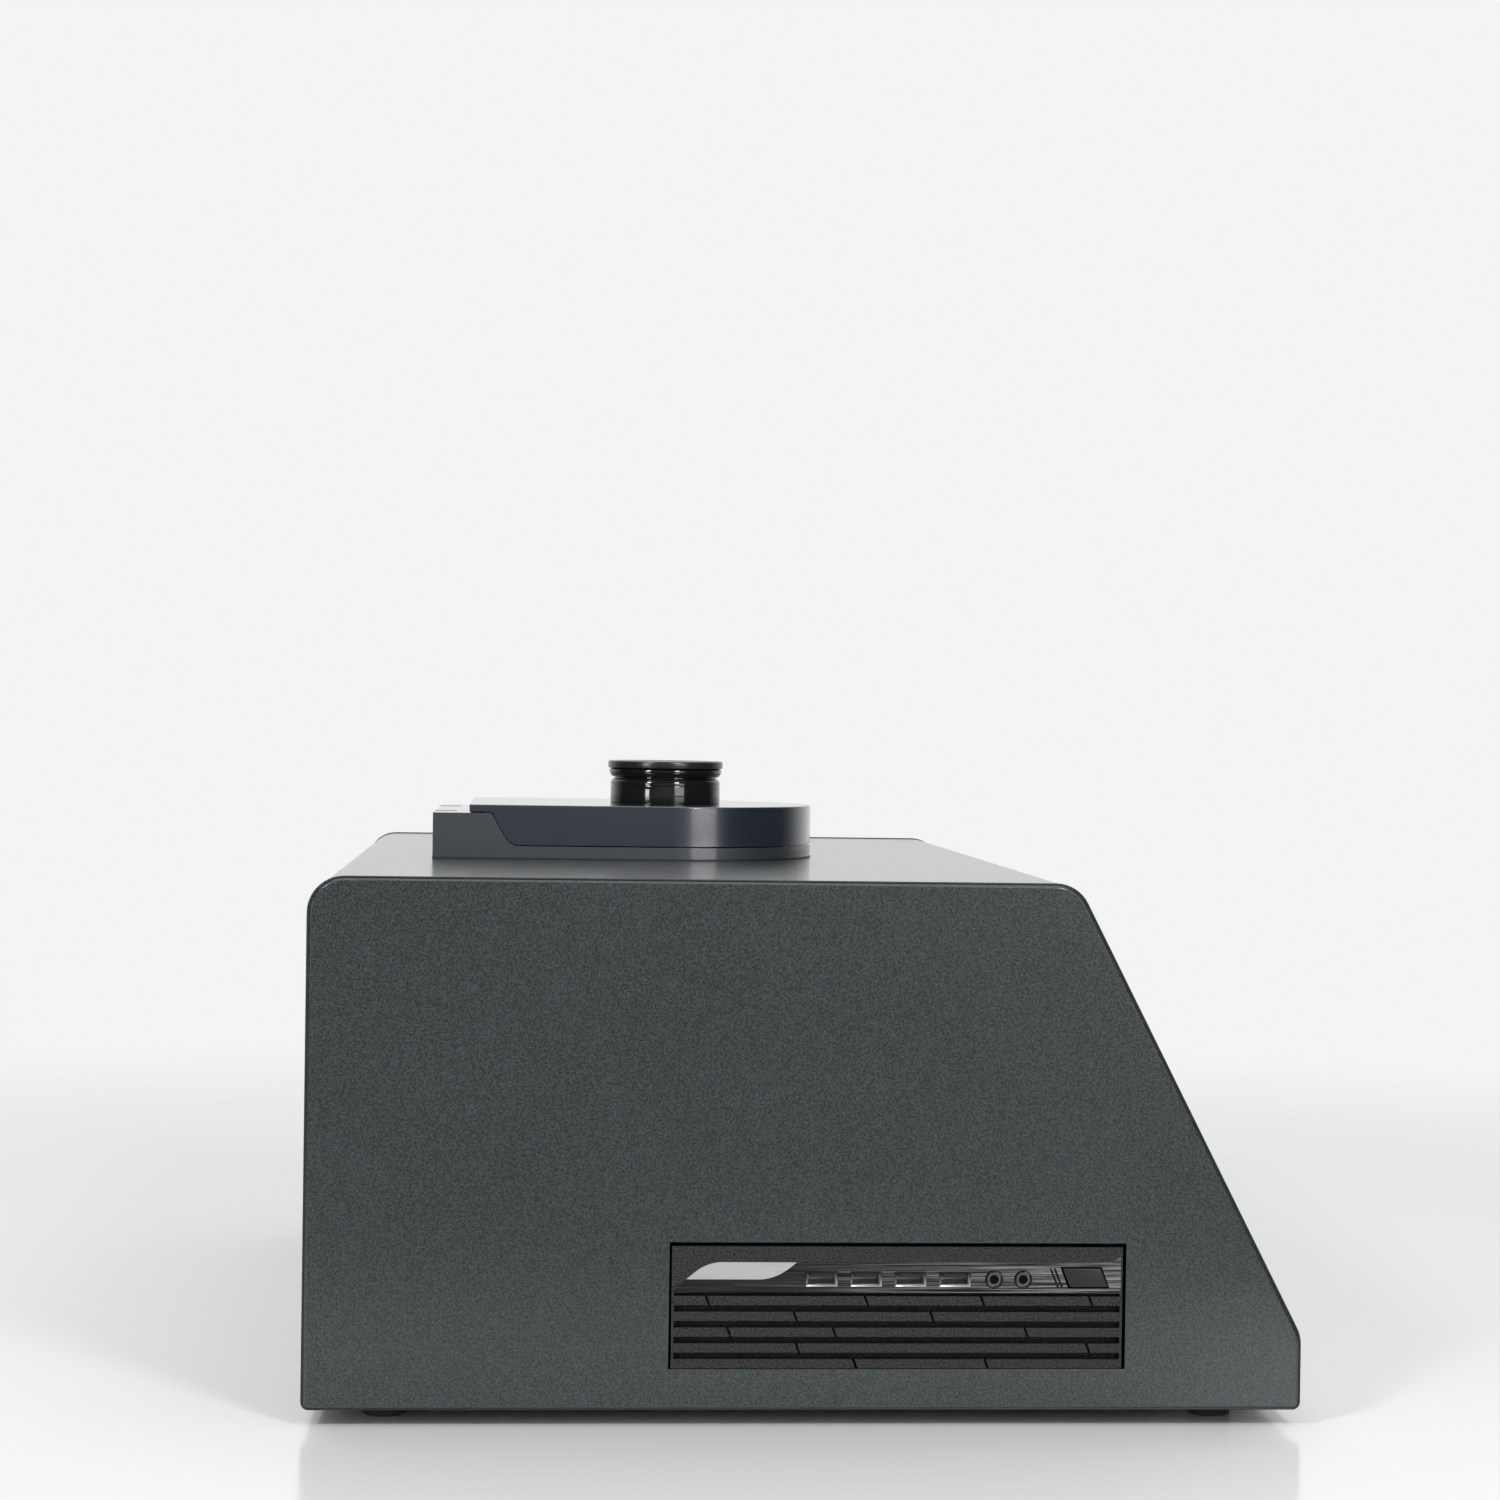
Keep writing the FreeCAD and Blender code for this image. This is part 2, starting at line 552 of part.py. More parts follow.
# The S-shaped joint between the block and the lid, seen from the side
block_top = f"({top} + block_height)"
lid_top = f"({top} + lid_height)"
tray_top = f"({top} + tray_height)"
lid_under = f"({tray_top} + joint_gap)"
joint_rise = "(block_height - tray_height)"
joint_slant = f"sqrt({joint_rise} ^ 2 + joint_run ^ 2)"
joint_shift = f"(joint_gap * {joint_slant} / {joint_rise})"
joint_lean = f"(joint_run / {joint_rise})"
joint_x = "(stage_x - joint_top)"
front_x = "(stage_x + stage_radius)"


def joint_body(name, corners, crown_z, root_z, crown_radius, root_radius):
    """A side profile across the stage, with the joint's two bends rounded."""
    owner = body(name)
    side = sketch(owner, "XZ_Plane", f"{name}_outline")
    outline(side, corners)
    blank = pad(owner, side, "2 * stage_radius + 2", f"{name}_pad", middle=True)
    middle = value(f"{joint_x} - joint_run / 3"), value(f"{joint_x} + 4 * joint_run / 3")

    def bend(level):
        return lambda edge: (runs_along(edge, "y") and abs(middle_of(edge).z - value(level)) < 0.01
                             and middle[0] < middle_of(edge).x < middle[1])
    crown = soften(owner, blank, edges(blank, bend(crown_z)), crown_radius, f"{name}_crown")
    soften(owner, crown, edges(crown, bend(root_z)), root_radius, f"{name}_root")
    return owner


block_side = joint_body("block_side", [
    ("stage_x - stage_back - 1", f"{top} - 1"),
    ("stage_x - stage_back - 1", block_top),
    (joint_x, block_top),
    (f"{joint_x} + joint_run", tray_top),
    (f"{front_x} + 1", tray_top),
    (f"{front_x} + 1", f"{top} - 1"),
], block_top, tray_top, "joint_crown_radius", "joint_root_radius")
block_blank = common("block_blank", block_side, stage_plan("block", "stage_back", top, block_top))
boss = rod("stage_boss", "z", "stage_x", "0", f"{top} - boss_depth", "boss_radius", "boss_depth")
boss_bore = rod("stage_bore", "z", "stage_x", "0", f"{top} - 2 * boss_depth", "boss_bore",
                "3 * boss_depth")
platform_low = f"({top} + platform_top - platform_height)"
recess = rod("stage_recess", "z", "stage_x", "0",
             f"{platform_low} - platform_clearance - bush_flange_height",
             "platform_radius + platform_gap", "block_height")
seal_level = f"({lid_under} - seal_gap - seal_cord)"
seal_outer = rod("seal_outer", "z", "stage_x", "0", f"{seal_level} - seal_cord",
                 "seal_radius + seal_cord + seal_side_gap", "block_height")
seal_inner = rod("seal_inner", "z", "stage_x", "0", f"{seal_level} - 2 * seal_cord",
                 "seal_radius - seal_cord - seal_side_gap", "2 * block_height")
seal_keep = block("seal_keep", "stage_x - 2 * stage_radius", "-stage_radius",
                  f"{lid_under} + joint_gap", "4 * stage_radius", "2 * stage_radius",
                  "block_height")
seal_groove = cut("seal_groove", seal_outer, seal_inner, seal_keep)
hinge_x = "(stage_x - hinge_back)"
hinge_z = f"({block_top} - hinge_drop)"
hinge_slots = [
    block(f"hinge_slot_{number}", "stage_x - stage_back - 1",
          f"{side} * lug_side - lug_width / 2 - lug_gap",
          f"{hinge_z} - lug_radius - lug_sweep_gap",
          "stage_back + 1 - hinge_back + lug_reach + lug_root", "lug_width + 2 * lug_gap",
          "block_height")
    for number, side in enumerate((-1, 1), 1)
]
pin_bore = rod("pin_bore", "y", hinge_x, "-lug_side - lug_width / 2 - lug_gap - pin_overhang",
               hinge_z, "pin_radius + pin_gap", "lug_side + 2 * stage_radius")
post_bores = [
    rod(f"post_bore_{number}", "z", spot_x, spot_y, f"{top} - 1",
        "screw_radius + screw_hole_gap / 2", "post_bore_depth + 1")
    for number, (spot_x, spot_y) in enumerate(stage_posts, 1)
]
stage_solid = join("stage_solid", block_blank, boss)
piece("stage_base", cut("stage_base", stage_solid, boss_bore, recess, seal_groove,
                        *hinge_slots, pin_bore, *post_bores))
pin_reach = "(lug_side + lug_width / 2 + lug_gap + pin_overhang - pin_end_gap)"
piece("hinge_pin", rod("hinge_pin", "y", hinge_x, f"-{pin_reach}", hinge_z, "pin_radius",
                       f"2 * {pin_reach}"))
seal_blank = rod("seal_blank", "z", "stage_x", "0", f"{seal_level} - seal_cord",
                 "seal_radius + seal_cord", "2 * seal_cord")
seal_hole = rod("seal_hole", "z", "stage_x", "0", f"{seal_level} - 2 * seal_cord",
                "seal_radius - seal_cord", "4 * seal_cord")
piece("stage_seal", cut("stage_seal", seal_blank, seal_hole))

# The lid: a milled cover with a tongue over the block and two hinge lugs
lid_side = joint_body("lid_side", [
    ("stage_x - tongue_back", f"{block_top} + tongue_gap"),
    ("stage_x - tongue_back", lid_top),
    (f"{front_x} + 1", lid_top),
    (f"{front_x} + 1", lid_under),
    (f"{joint_x} + joint_run + {joint_shift} - joint_gap * {joint_lean}", lid_under),
    (f"{joint_x} + {joint_shift} - tongue_gap * {joint_lean}", f"{block_top} + tongue_gap"),
], f"{block_top} + tongue_gap", lid_under, "joint_crown_radius + joint_gap",
    "joint_root_radius - joint_gap")
lid_blank = common("lid_blank", lid_side, stage_plan("lid", "tongue_back", tray_top, lid_top))
lid_cut_body = body("lid_rounded", lid_blank)
doc.recompute()
lid_level = value(lid_top)
rim_edges = edges(lid_cut_body, lambda edge: abs(edge.BoundBox.ZMin - lid_level) < 0.001
                  and abs(edge.BoundBox.ZMax - lid_level) < 0.001
                  and middle_of(edge).x > value("stage_x - tongue_back") + 0.01)
soften(lid_cut_body, lid_cut_body.Tip, rim_edges, "lid_chamfer", "lid_rim", "Chamfer")
lug_discs = []
lug_webs = []
for number, side in enumerate((-1, 1), 1):
    lug_y = f"({side} * lug_side - lug_width / 2)"
    lug_discs.append(rod(f"lug_disc_{number}", "y", hinge_x, lug_y, hinge_z, "lug_radius",
                         "lug_width"))
    lug_webs.append(block(f"lug_web_{number}", hinge_x, lug_y, f"{hinge_z} - lug_radius / 2",
                          "hinge_back - tongue_back + lug_root", "lug_width",
                          "lug_radius / 2 + hinge_drop"))
    lug_webs.append(block(f"lug_root_{number}", "stage_x - tongue_back", lug_y,
                          f"{hinge_z} - lug_radius / 2",
                          "lug_reach - hinge_back + tongue_back", "lug_width",
                          "lug_radius / 2 + hinge_drop + 2 * tongue_gap"))
cavity = rod("lid_cavity", "z", "stage_x", "0", tray_top, "cavity_radius",
             "block_height - tray_height")
lug_bore = rod("lug_bore", "y", hinge_x, "-stage_radius", hinge_z, "pin_radius + pin_gap",
               "2 * stage_radius")
screw_hole = rod("lid_screw_hole", "z", "stage_x", "0", block_top,
                 "knob_screw_radius + screw_hole_gap", "lid_height")
lid_solid = join("lid_solid", lid_cut_body, *lug_discs, *lug_webs)
piece("lid_shell", cut("lid_shell", lid_solid, cavity, lug_bore, screw_hole))

# The knob: a turned black body under a satin cap, held by a screw from inside the lid
cap_low = "(knob_height - cap_height)"
knob = body("knob")
profile = sketch(knob, "XZ_Plane", "knob_profile")
outline(profile, [
    ("knob_screw_radius", "0"),
    ("knob_radius", "0"),
    ("knob_radius", "knob_skirt"),
    ("knob_radius - knob_groove", "knob_skirt"),
    ("knob_radius - knob_groove", "knob_skirt + 3 * knob_groove"),
    ("knob_neck", "knob_neck_height"),
    ("knob_bead", "knob_bead_height"),
    ("knob_bead", f"{cap_low} - knob_groove"),
    ("cap_groove", cap_low),
    ("0", cap_low),
    ("0", "knob_screw_length"),
    ("knob_screw_radius", "knob_screw_length"),
])
revolve(knob, profile, "knob_turn")
place(knob, "stage_x", "0", lid_top)
piece("lid_knob", knob)
cap = body("cap")
profile = sketch(cap, "XZ_Plane", "cap_profile")
outline(profile, [
    ("0", cap_low),
    ("cap_radius", cap_low),
    ("cap_radius", "knob_height - cap_chamfer"),
    ("cap_radius - cap_chamfer", "knob_height"),
    ("0", "knob_height"),
])
revolve(cap, profile, "cap_turn")
place(cap, "stage_x", "0", lid_top)
piece("knob_cap", cap)
knob_shank = rod("knob_shank", "z", "stage_x", "0", block_top, "knob_screw_radius",
                 "lid_height - block_height + knob_screw_length - knob_screw_gap")
knob_head = hexagon("knob_head", "stage_x", "0", f"{block_top} - knob_head_height",
                    "knob_head_radius", "knob_head_height")
piece("knob_screw", join("knob_screw", knob_shank, knob_head))

# The bush and the turntable that runs in it
bush_low = f"({top} - boss_depth)"
bush = body("bush")
profile = sketch(bush, "XZ_Plane", "bush_profile")
flange_top = f"({platform_low} - platform_clearance)"
outline(profile, [
    ("hub_radius + hub_gap", bush_low),
    ("boss_bore", bush_low),
    ("boss_bore", f"{flange_top} - bush_flange_height"),
    ("bush_flange", f"{flange_top} - bush_flange_height"),
    ("bush_flange", flange_top),
    ("hub_radius + hub_gap", flange_top),
])
revolve(bush, profile, "bush_turn")
place(bush, "stage_x", "0", "0")
piece("turntable_bush", bush)
platform_level = f"({top} + platform_top)"
gear_low = f"({top} - gear_drop)"
table = body("table")
profile = sketch(table, "XZ_Plane", "table_profile")
outline(profile, [
    ("hub_bore", platform_low),
    ("platform_radius", platform_low),
    ("platform_radius", platform_level),
    ("cup_radius + cup_gap", platform_level),
    ("cup_radius + cup_gap", f"{platform_level} - cup_ledge_height"),
    ("hub_bore", f"{platform_level} - cup_ledge_height"),
])
revolve(table, profile, "table_turn")
place(table, "stage_x", "0", "0")
piece("turntable", table)
hub_blank = rod("hub_blank", "z", "stage_x", "0", gear_low, "hub_radius",
                f"{platform_low} - {gear_low}")
hub_room = rod("hub_room", "z", "stage_x", "0", f"{gear_low} - 1", "hub_bore",
               f"{platform_low} - {gear_low} + 2")
piece("turntable_hub", cut("turntable_hub", hub_blank, hub_room))


def spur_gear(name, teeth, bore, height):
    """A gear with straight-flanked teeth about its own upright axis."""
    gear = body(name)
    pitch = f"(gear_module * {teeth} / 2)"
    root = f"({pitch} - 1.25 * gear_module)"
    tip = f"({pitch} + gear_module)"
    half = "((3.14159 * gear_module / 2 - backlash) / 2)"
    flare = f"(0.56 * gear_module * (1 - 12 / {teeth}))"
    blank = sketch(gear, "XY_Plane", f"{name}_blank")
    circle(blank, "0", "0", root)
    if bore:
        circle(blank, "0", "0", bore)
    pad(gear, blank, height, f"{name}_disc")
    tooth = sketch(gear, "XY_Plane", f"{name}_tooth")
    outline(tooth, [
        (f"{root} - gear_module / 4", f"-{half} - {flare}"),
        (tip, f"-{half} + 0.36 * gear_module"),
        (tip, f"{half} - 0.36 * gear_module"),
        (f"{root} - gear_module / 4", f"{half} + {flare}"),
    ])
    first = pad(gear, tooth, height, f"{name}_first_tooth")
    row = gear.newObject("PartDesign::PolarPattern", f"{name}_teeth")
    row.Originals = [first]
    row.Axis = (blank, ["N_Axis"])
    row.Angle = 360
    bind(row, Occurrences=teeth)
    gear.Tip = row
    doc.recompute()
    return gear


ring = spur_gear("ring", "ring_teeth", "hub_radius", "gear_height")
place(ring, "stage_x", "0", gear_low)
piece("ring_gear", ring)

# The sample cup and its glass bottom
cup_low = f"({platform_level} - cup_ledge_height)"
cup = body("cup")
profile = sketch(cup, "XZ_Plane", "cup_profile")
outline(profile, [
    ("cup_ledge", cup_low),
    ("cup_radius", cup_low),
    ("cup_radius", f"{cup_low} + cup_height"),
    ("cup_bore", f"{cup_low} + cup_height"),
    ("cup_bore", f"{cup_low} + cup_ledge_height"),
    ("cup_ledge", f"{cup_low} + cup_ledge_height"),
])
revolve(cup, profile, "cup_turn")
place(cup, "stage_x", "0", "0")
piece("sample_cup", cup)
piece("cup_window", rod("cup_window", "z", "stage_x", "0", f"{cup_low} + cup_ledge_height",
                        "cup_bore - window_gap", "window_thickness"))

# The drive: a plate hung on posts, a stepper motor and its pinion
plate_low = f"({top} - drive_plate_drop)"
plate_top = f"({plate_low} + drive_plate_sheet)"
pinion_x = "(stage_x - gear_module * (ring_teeth + pinion_teeth) / 2)"
drive_rear = f"({pinion_x} - motor_side / 2 - motor_margin)"
drive_front = "(stage_x + drive_plate_side)"
drive_blank = block("drive_blank", drive_rear, "-drive_plate_side", plate_low,
                    f"{drive_front} - {drive_rear}", "2 * drive_plate_side", "drive_plate_sheet")
light_hole = block("drive_light_hole", "stage_x - light_hole", "-light_hole", f"{plate_low} - 1",
                   "2 * light_hole", "2 * light_hole", "drive_plate_sheet + 2")
pilot_hole = rod("drive_pilot_hole", "z", pinion_x, "0", f"{plate_low} - 1",
                 "motor_pilot + seat_gap", "drive_plate_sheet + 2")
plate_holes = [
    rod(f"drive_hole_{number}", "z", spot_x, spot_y, f"{plate_low} - 1",
        "screw_radius + screw_hole_gap", "drive_plate_sheet + 2")
    for number, (spot_x, spot_y) in enumerate(stage_posts, 1)
]
piece("drive_plate", cut("drive_plate", drive_blank, light_hole, pilot_hole, *plate_holes))
posts = []
post_screws = []
for number, (spot_x, spot_y) in enumerate(stage_posts, 1):
    post = hexagon(f"post_{number}", spot_x, spot_y, plate_top, "post_radius",
                   f"{top} - sheet - {plate_top}")
    hole = rod(f"post_hole_{number}", "z", spot_x, spot_y, plate_top,
               "screw_radius + screw_hole_gap", "drive_plate_drop")
    posts.append(cut(f"drive_post_{number}", post, hole))
    head = hexagon(f"post_head_{number}", spot_x, spot_y, f"{plate_low} - head_height",
                   "head_radius", "head_height")
    shank = rod(f"post_shank_{number}", "z", spot_x, spot_y, plate_low, "screw_radius",
                "drive_plate_drop + post_screw_reach")
    post_screws.append(join(f"post_screw_{number}", head, shank))
piece("drive_posts", group("drive_posts", *posts))
piece("stage_screws", group("stage_screws", *post_screws))
motor_low = f"({plate_low} - motor_height)"
motor_blank = body("motor")
profile = sketch(motor_blank, "XY_Plane", "motor_outline", motor_low)
rectangle(profile, f"{pinion_x} - motor_side / 2", f"{pinion_x} + motor_side / 2",
          "-motor_side / 2", "motor_side / 2")
motor_pad = pad(motor_blank, profile, "motor_height", "motor_pad")
uprights = edges(motor_pad, lambda edge: runs_along(edge, "z"))
soften(motor_blank, motor_pad, uprights, "motor_chamfer", "motor_corners", "Chamfer")
motor_pilot = rod("motor_pilot", "z", pinion_x, "0", plate_low, "motor_pilot",
                  "motor_pilot_height")
motor_solid = join("motor_solid", motor_blank, motor_pilot)
shaft_bore = rod("motor_bore", "z", pinion_x, "0", f"{plate_low} - shaft_depth",
                 "shaft_radius + shaft_gap", "2 * shaft_depth")
piece("stepper_motor", cut("stepper_motor", motor_solid, shaft_bore))
pinion = spur_gear("pinion", "pinion_teeth", "", "gear_height + pinion_extra")
pinion.Placement = FreeCAD.Placement(V(), FreeCAD.Rotation(V(0, 0, 1), 10))
pinion.setExpression("Placement.Rotation.Angle", formula("180 / pinion_teeth"))
place(pinion, pinion_x, "0", f"{gear_low} - pinion_extra / 2")
shaft = rod("pinion_shaft", "z", pinion_x, "0", f"{plate_low} - shaft_depth + shaft_end_gap",
            "shaft_radius", f"{gear_low} - {plate_low} + shaft_depth")
piece("drive_pinion", join("drive_pinion", pinion, shaft))

# The optics: a bench on posts, the measuring head, its lamp and the spectrometer
bench_low = f"({floor_top} + bench_height - bench_sheet)"
bench_top = f"({floor_top} + bench_height)"
bench_left = "(stage_x - bench_rear_length)"
bench_right = "(stage_x + bench_front_length)"
bench_near = "(-case_width / 2 + pc_sink + bezel_depth + pc_depth + bench_gap)"
bench_far = f"({control_y} - control_gap)"
bench_posts = []
for end, post_x in enumerate((f"({bench_left} + bench_post_inset)",
                              f"({bench_right} - bench_post_inset)")):
    for side, post_y in enumerate((f"({bench_near} + bench_post_inset)",
                                   f"({bench_far} - bench_post_inset)")):
        bench_posts.append(hexagon(f"bench_post_{end}_{side}", post_x, post_y, floor_top,
                                   "bench_post_radius", "bench_height - bench_sheet"))
piece("optical_bench", block("optical_bench", bench_left, bench_near, bench_low,
                             f"{bench_right} - {bench_left}",
                             f"{bench_far} - {bench_near}", "bench_sheet"))
piece("bench_posts", group("bench_posts", *bench_posts))
head_box = block("head_box", "stage_x - head_side / 2", "-head_side / 2", bench_top,
                 "head_side", "head_side", "head_top")
head_tube = rod("head_tube", "z", "stage_x", "0", f"{bench_top} + head_top", "head_tube",
                f"{top} - head_tube_drop - lens_thickness - {bench_top} - head_top")
head_solid = join("head_solid", head_box, head_tube)
head_bore = rod("head_bore", "z", "stage_x", "0",
                f"{bench_top} + coupling_height - 3 * lamp_bore / 2",
                "lens_radius - lens_rim", "2 * case_height")
coupling_z = f"({bench_top} + coupling_height)"
coupling_x = "(stage_x + head_side / 2)"
coupling_hole = rod("head_coupling_hole", "x", "stage_x", "0", coupling_z,
                    "coupling_radius - coupling_wall", "head_side")
lamp_hole = rod("head_lamp_hole", "y", "stage_x", "0", coupling_z, "lamp_bore", "head_side")
piece("optical_head", cut("optical_head", head_solid, head_bore, coupling_hole, lamp_hole))
piece("objective_window", rod("objective_window", "z", "stage_x", "0",
                              f"{top} - head_tube_drop - lens_thickness", "lens_radius",
                              "lens_thickness"))
coupling_rod = rod("coupling_rod", "x", coupling_x, "0", coupling_z, "coupling_radius",
                   "spectrometer_gap")
coupling_bore = rod("coupling_bore", "x", f"{coupling_x} - 1", "0", coupling_z,
                    "coupling_radius - coupling_wall", "spectrometer_gap + 2")
piece("light_coupling", cut("light_coupling", coupling_rod, coupling_bore))
holder = block("holder", "stage_x - lamp_block / 2", "head_side / 2", f"{coupling_z} - lamp_block / 2",
               "lamp_block", "lamp_block", "lamp_block")
holder_bore = rod("holder_bore", "y", "stage_x", "head_side / 2 - 1", coupling_z, "lamp_bore",
                  "lamp_block - lamp_floor + 1")
lamp_pin_spots = [(number, f"(stage_x + {side} * lamp_radius / 2)")
                  for number, side in enumerate((-1, 1), 1)]
holder_pins = [
    block(f"holder_pin_hole_{number}", f"{pin_x} - lamp_pin / 2 - lamp_pin_gap", "head_side / 2",
          f"{coupling_z} - lamp_pin / 2 - lamp_pin_gap", "lamp_pin + 2 * lamp_pin_gap",
          "lamp_block + 1", "lamp_pin + 2 * lamp_pin_gap")
    for number, pin_x in lamp_pin_spots
]
piece("lamp_holder", cut("lamp_holder", holder, holder_bore, *holder_pins))
lamp_back = "(head_side / 2 + lamp_block - lamp_floor - lamp_gap)"
lamp_glass = rod("lamp_glass", "y", "stage_x", f"{lamp_back} - lamp_length", coupling_z,
                 "lamp_radius", "lamp_length")
lamp_pins = [
    block(f"lamp_pin_{number}", f"{pin_x} - lamp_pin / 2", lamp_back,
          f"{coupling_z} - lamp_pin / 2", "lamp_pin", "lamp_pin_length", "lamp_pin")
    for number, pin_x in lamp_pin_spots
]
piece("halogen_lamp", join("halogen_lamp", lamp_glass, *lamp_pins))
spectrometer_x = f"({coupling_x} + spectrometer_gap)"
spectrometer_blank = block("spectrometer_blank", spectrometer_x, "-spectrometer_width / 3",
                           bench_top, "spectrometer_length", "spectrometer_width",
                           "spectrometer_height")
spectrometer_room = block("spectrometer_room", f"{spectrometer_x} + spectrometer_wall",
                          "-spectrometer_width / 3 + spectrometer_wall",
                          f"{bench_top} + spectrometer_wall",
                          "spectrometer_length - 2 * spectrometer_wall",
                          "spectrometer_width - 2 * spectrometer_wall", "spectrometer_height")
spectrometer_hole = rod("spectrometer_hole", "x", f"{spectrometer_x} - 1", "0", coupling_z,
                        "coupling_radius - coupling_wall", "spectrometer_wall + 2")
piece("spectrometer_box", cut("spectrometer_box", spectrometer_blank, spectrometer_room,
                              spectrometer_hole))
piece("spectrometer_cover", block("spectrometer_cover", spectrometer_x, "-spectrometer_width / 3",
                                  f"{bench_top} + spectrometer_height", "spectrometer_length",
                                  "spectrometer_width", "spectrometer_lid"))

# The small computer's bezel: slats, a trim band, ports and a slanted button
bezel_y = "(-case_width / 2 + pc_sink)"
bezel_back = f"({bezel_y} + bezel_depth)"
bezel = block("bezel_blank", pc_left, bezel_y, "pc_bottom", "pc_width", "bezel_depth", "pc_height")
slat_room = "(slat_pitch - slat_gap)"
bezel_cuts = []
for gap in range(5):
    low = f"pc_bottom + {slat_room} + {gap} * slat_pitch"
    height = "slat_gap" if gap < 4 else "slat_gap / 2"
    bezel_cuts.append(block(f"slat_gap_{gap}", f"{pc_left} + slat_margin", f"{bezel_y} - 1", low,
                            "pc_width - 2 * slat_margin", "slat_depth + 1", height))
slat_marks = [(0.408, 0.700), (0.281, 0.926), (0.129, 0.362, 0.788), (0.275, 0.578),
              (0.081, 0.432, 0.690, 0.931)]
for gap, marks in enumerate(slat_marks):
    for mark in marks:
        slant = doc.addObject("Part::Box", f"slat_mark_{gap}_{int(1000 * mark)}")
        slant.Placement = FreeCAD.Placement(V(), FreeCAD.Rotation(V(0, 1, 0), -20))
        bind(slant, Length="slat_cut", Width="slat_depth + 1", Height="slat_gap + 3 * slat_cut")
        slant.setExpression("Placement.Rotation.Angle", formula("-slat_lean"))
        place(slant, f"{pc_left} + {mark} * pc_width", f"{bezel_y} - 1",
              f"pc_bottom + {gap} * slat_pitch - slat_cut / 2")
        bezel_cuts.append(slant)


def face_slab(name, corners, front, depth):
    """A plate on the computer's face, from its corners, its front and its depth."""
    owner = body(name)
    face = sketch(owner, "XZ_Plane", f"{name}_outline", f"-({front})")
    outline(face, corners)
    pad(owner, face, depth, f"{name}_pad", back=True)
    return owner


def band_corners(shares):
    """Points on the trim band, as shares of the computer's width and the band's height."""
    return [(f"{pc_left} + {across} * pc_width",
             f"pc_bottom + trim_bottom + {up} * (trim_top - trim_bottom)") for across, up in shares]


# The band starts with a slope at the badge and sweeps up at its front end
badge_left_side = [(0.105, 1), (0.081, 0.912), (0.058, 0.735), (0.032, 0.434)]
band_outline = band_corners([(0.004, 0), (0.996, 0), (0.996, 1.206), (0.98, 1.09), (0.96, 1.02),
                             (0.94, 1), *badge_left_side, (0.004, 0.081)])
bezel_cuts.append(face_slab("trim_seat", band_outline, f"{bezel_y} - 1", "trim_thickness + 1"))
port_z = "(pc_bottom + port_height)"
usb_cuts = []
usb_shells = []
usb_tongues = []
for port in range(4):
    port_x = f"({pc_left} + (usb_first_share + {port} * usb_pitch_share) * pc_width)"
    usb_cuts.append(block(
        f"usb_cut_{port}", f"{port_x} - usb_width / 2 - usb_gap", f"{bezel_y} - 1",
        f"{port_z} - usb_height / 2 - usb_gap", "usb_width + 2 * usb_gap", "bezel_depth + 2",
        "usb_height + 2 * usb_gap"))
    shell = block(f"usb_block_{port}", f"{port_x} - usb_width / 2", f"{bezel_y} + usb_gap",
                  f"{port_z} - usb_height / 2", "usb_width", "usb_depth", "usb_height")
    room = block(f"usb_room_{port}", f"{port_x} - usb_width / 2 + usb_wall", bezel_y,
                 f"{port_z} - usb_height / 2 + usb_wall", "usb_width - 2 * usb_wall",
                 "usb_depth + usb_gap - usb_wall", "usb_height - 2 * usb_wall")
    usb_shells.append(cut(f"usb_shell_{port}", shell, room))
    usb_tongues.append(block(
        f"usb_tongue_{port}", f"{port_x} - usb_width / 2 + 3 * usb_wall",
        f"{bezel_y} + usb_gap + 4 * usb_wall", f"{port_z} + usb_wall",
        "usb_width - 6 * usb_wall", "usb_depth - 5 * usb_wall", "usb_tongue"))
jack_cuts = []
audio_jacks = []
for port in range(2):
    port_x = f"({pc_left} + (jack_first_share + {port} * jack_pitch_share) * pc_width)"
    jack_cuts.append(rod(f"jack_cut_{port}", "y", port_x, f"{bezel_y} - 1", port_z,
                         "jack_radius + jack_gap", "bezel_depth + 2"))
    barrel = rod(f"jack_barrel_{port}", "y", port_x, bezel_y, port_z, "jack_radius", "jack_depth")
    bore = rod(f"jack_bore_{port}", "y", port_x, f"{bezel_y} - 1", port_z, "jack_bore",
               "jack_depth")
    audio_jacks.append(cut(f"audio_jack_{port}", barrel, bore))


def slanted(name, left, low, high, width, front, depth):
    """A bar whose sides lean forward as they go down."""
    lean = f"(face_lean_width * ({high} - {low}) / (button_top - button_bottom))"
    return face_slab(name, [
        (f"{left}", f"pc_bottom + {low}"),
        (f"{left} + {width}", f"pc_bottom + {low}"),
        (f"{left} + {width} - {lean}", f"pc_bottom + {high}"),
        (f"{left} - {lean}", f"pc_bottom + {high}"),
    ], front, depth)


button_x = f"({pc_left} + button_left_share * pc_width)"
button_hole = slanted("button_hole", f"({button_x} - button_gap)", "button_bottom - button_gap",
                      "button_top + button_gap", "(button_width + 2 * button_gap)",
                      f"{bezel_y} - 1", "bezel_depth + 2")
led_x = f"({pc_left} + led_left_share * pc_width)"
led_hole = slanted("led_hole", f"({led_x} - led_gap)", "button_bottom - led_gap",
                   "button_top + led_gap", "(led_width + 2 * led_gap)",
                   f"{bezel_y} - 1", "bezel_depth + 2")
face_cuts = [*usb_cuts, *jack_cuts, button_hole, led_hole]
piece("pc_bezel", cut("pc_bezel", bezel, *bezel_cuts, *face_cuts))
trim = face_slab("trim_blank", band_outline, bezel_y, "trim_thickness")
piece("pc_trim_band", cut("pc_trim_band", trim, *face_cuts))
piece("usb_shells", group("usb_shells", *usb_shells))
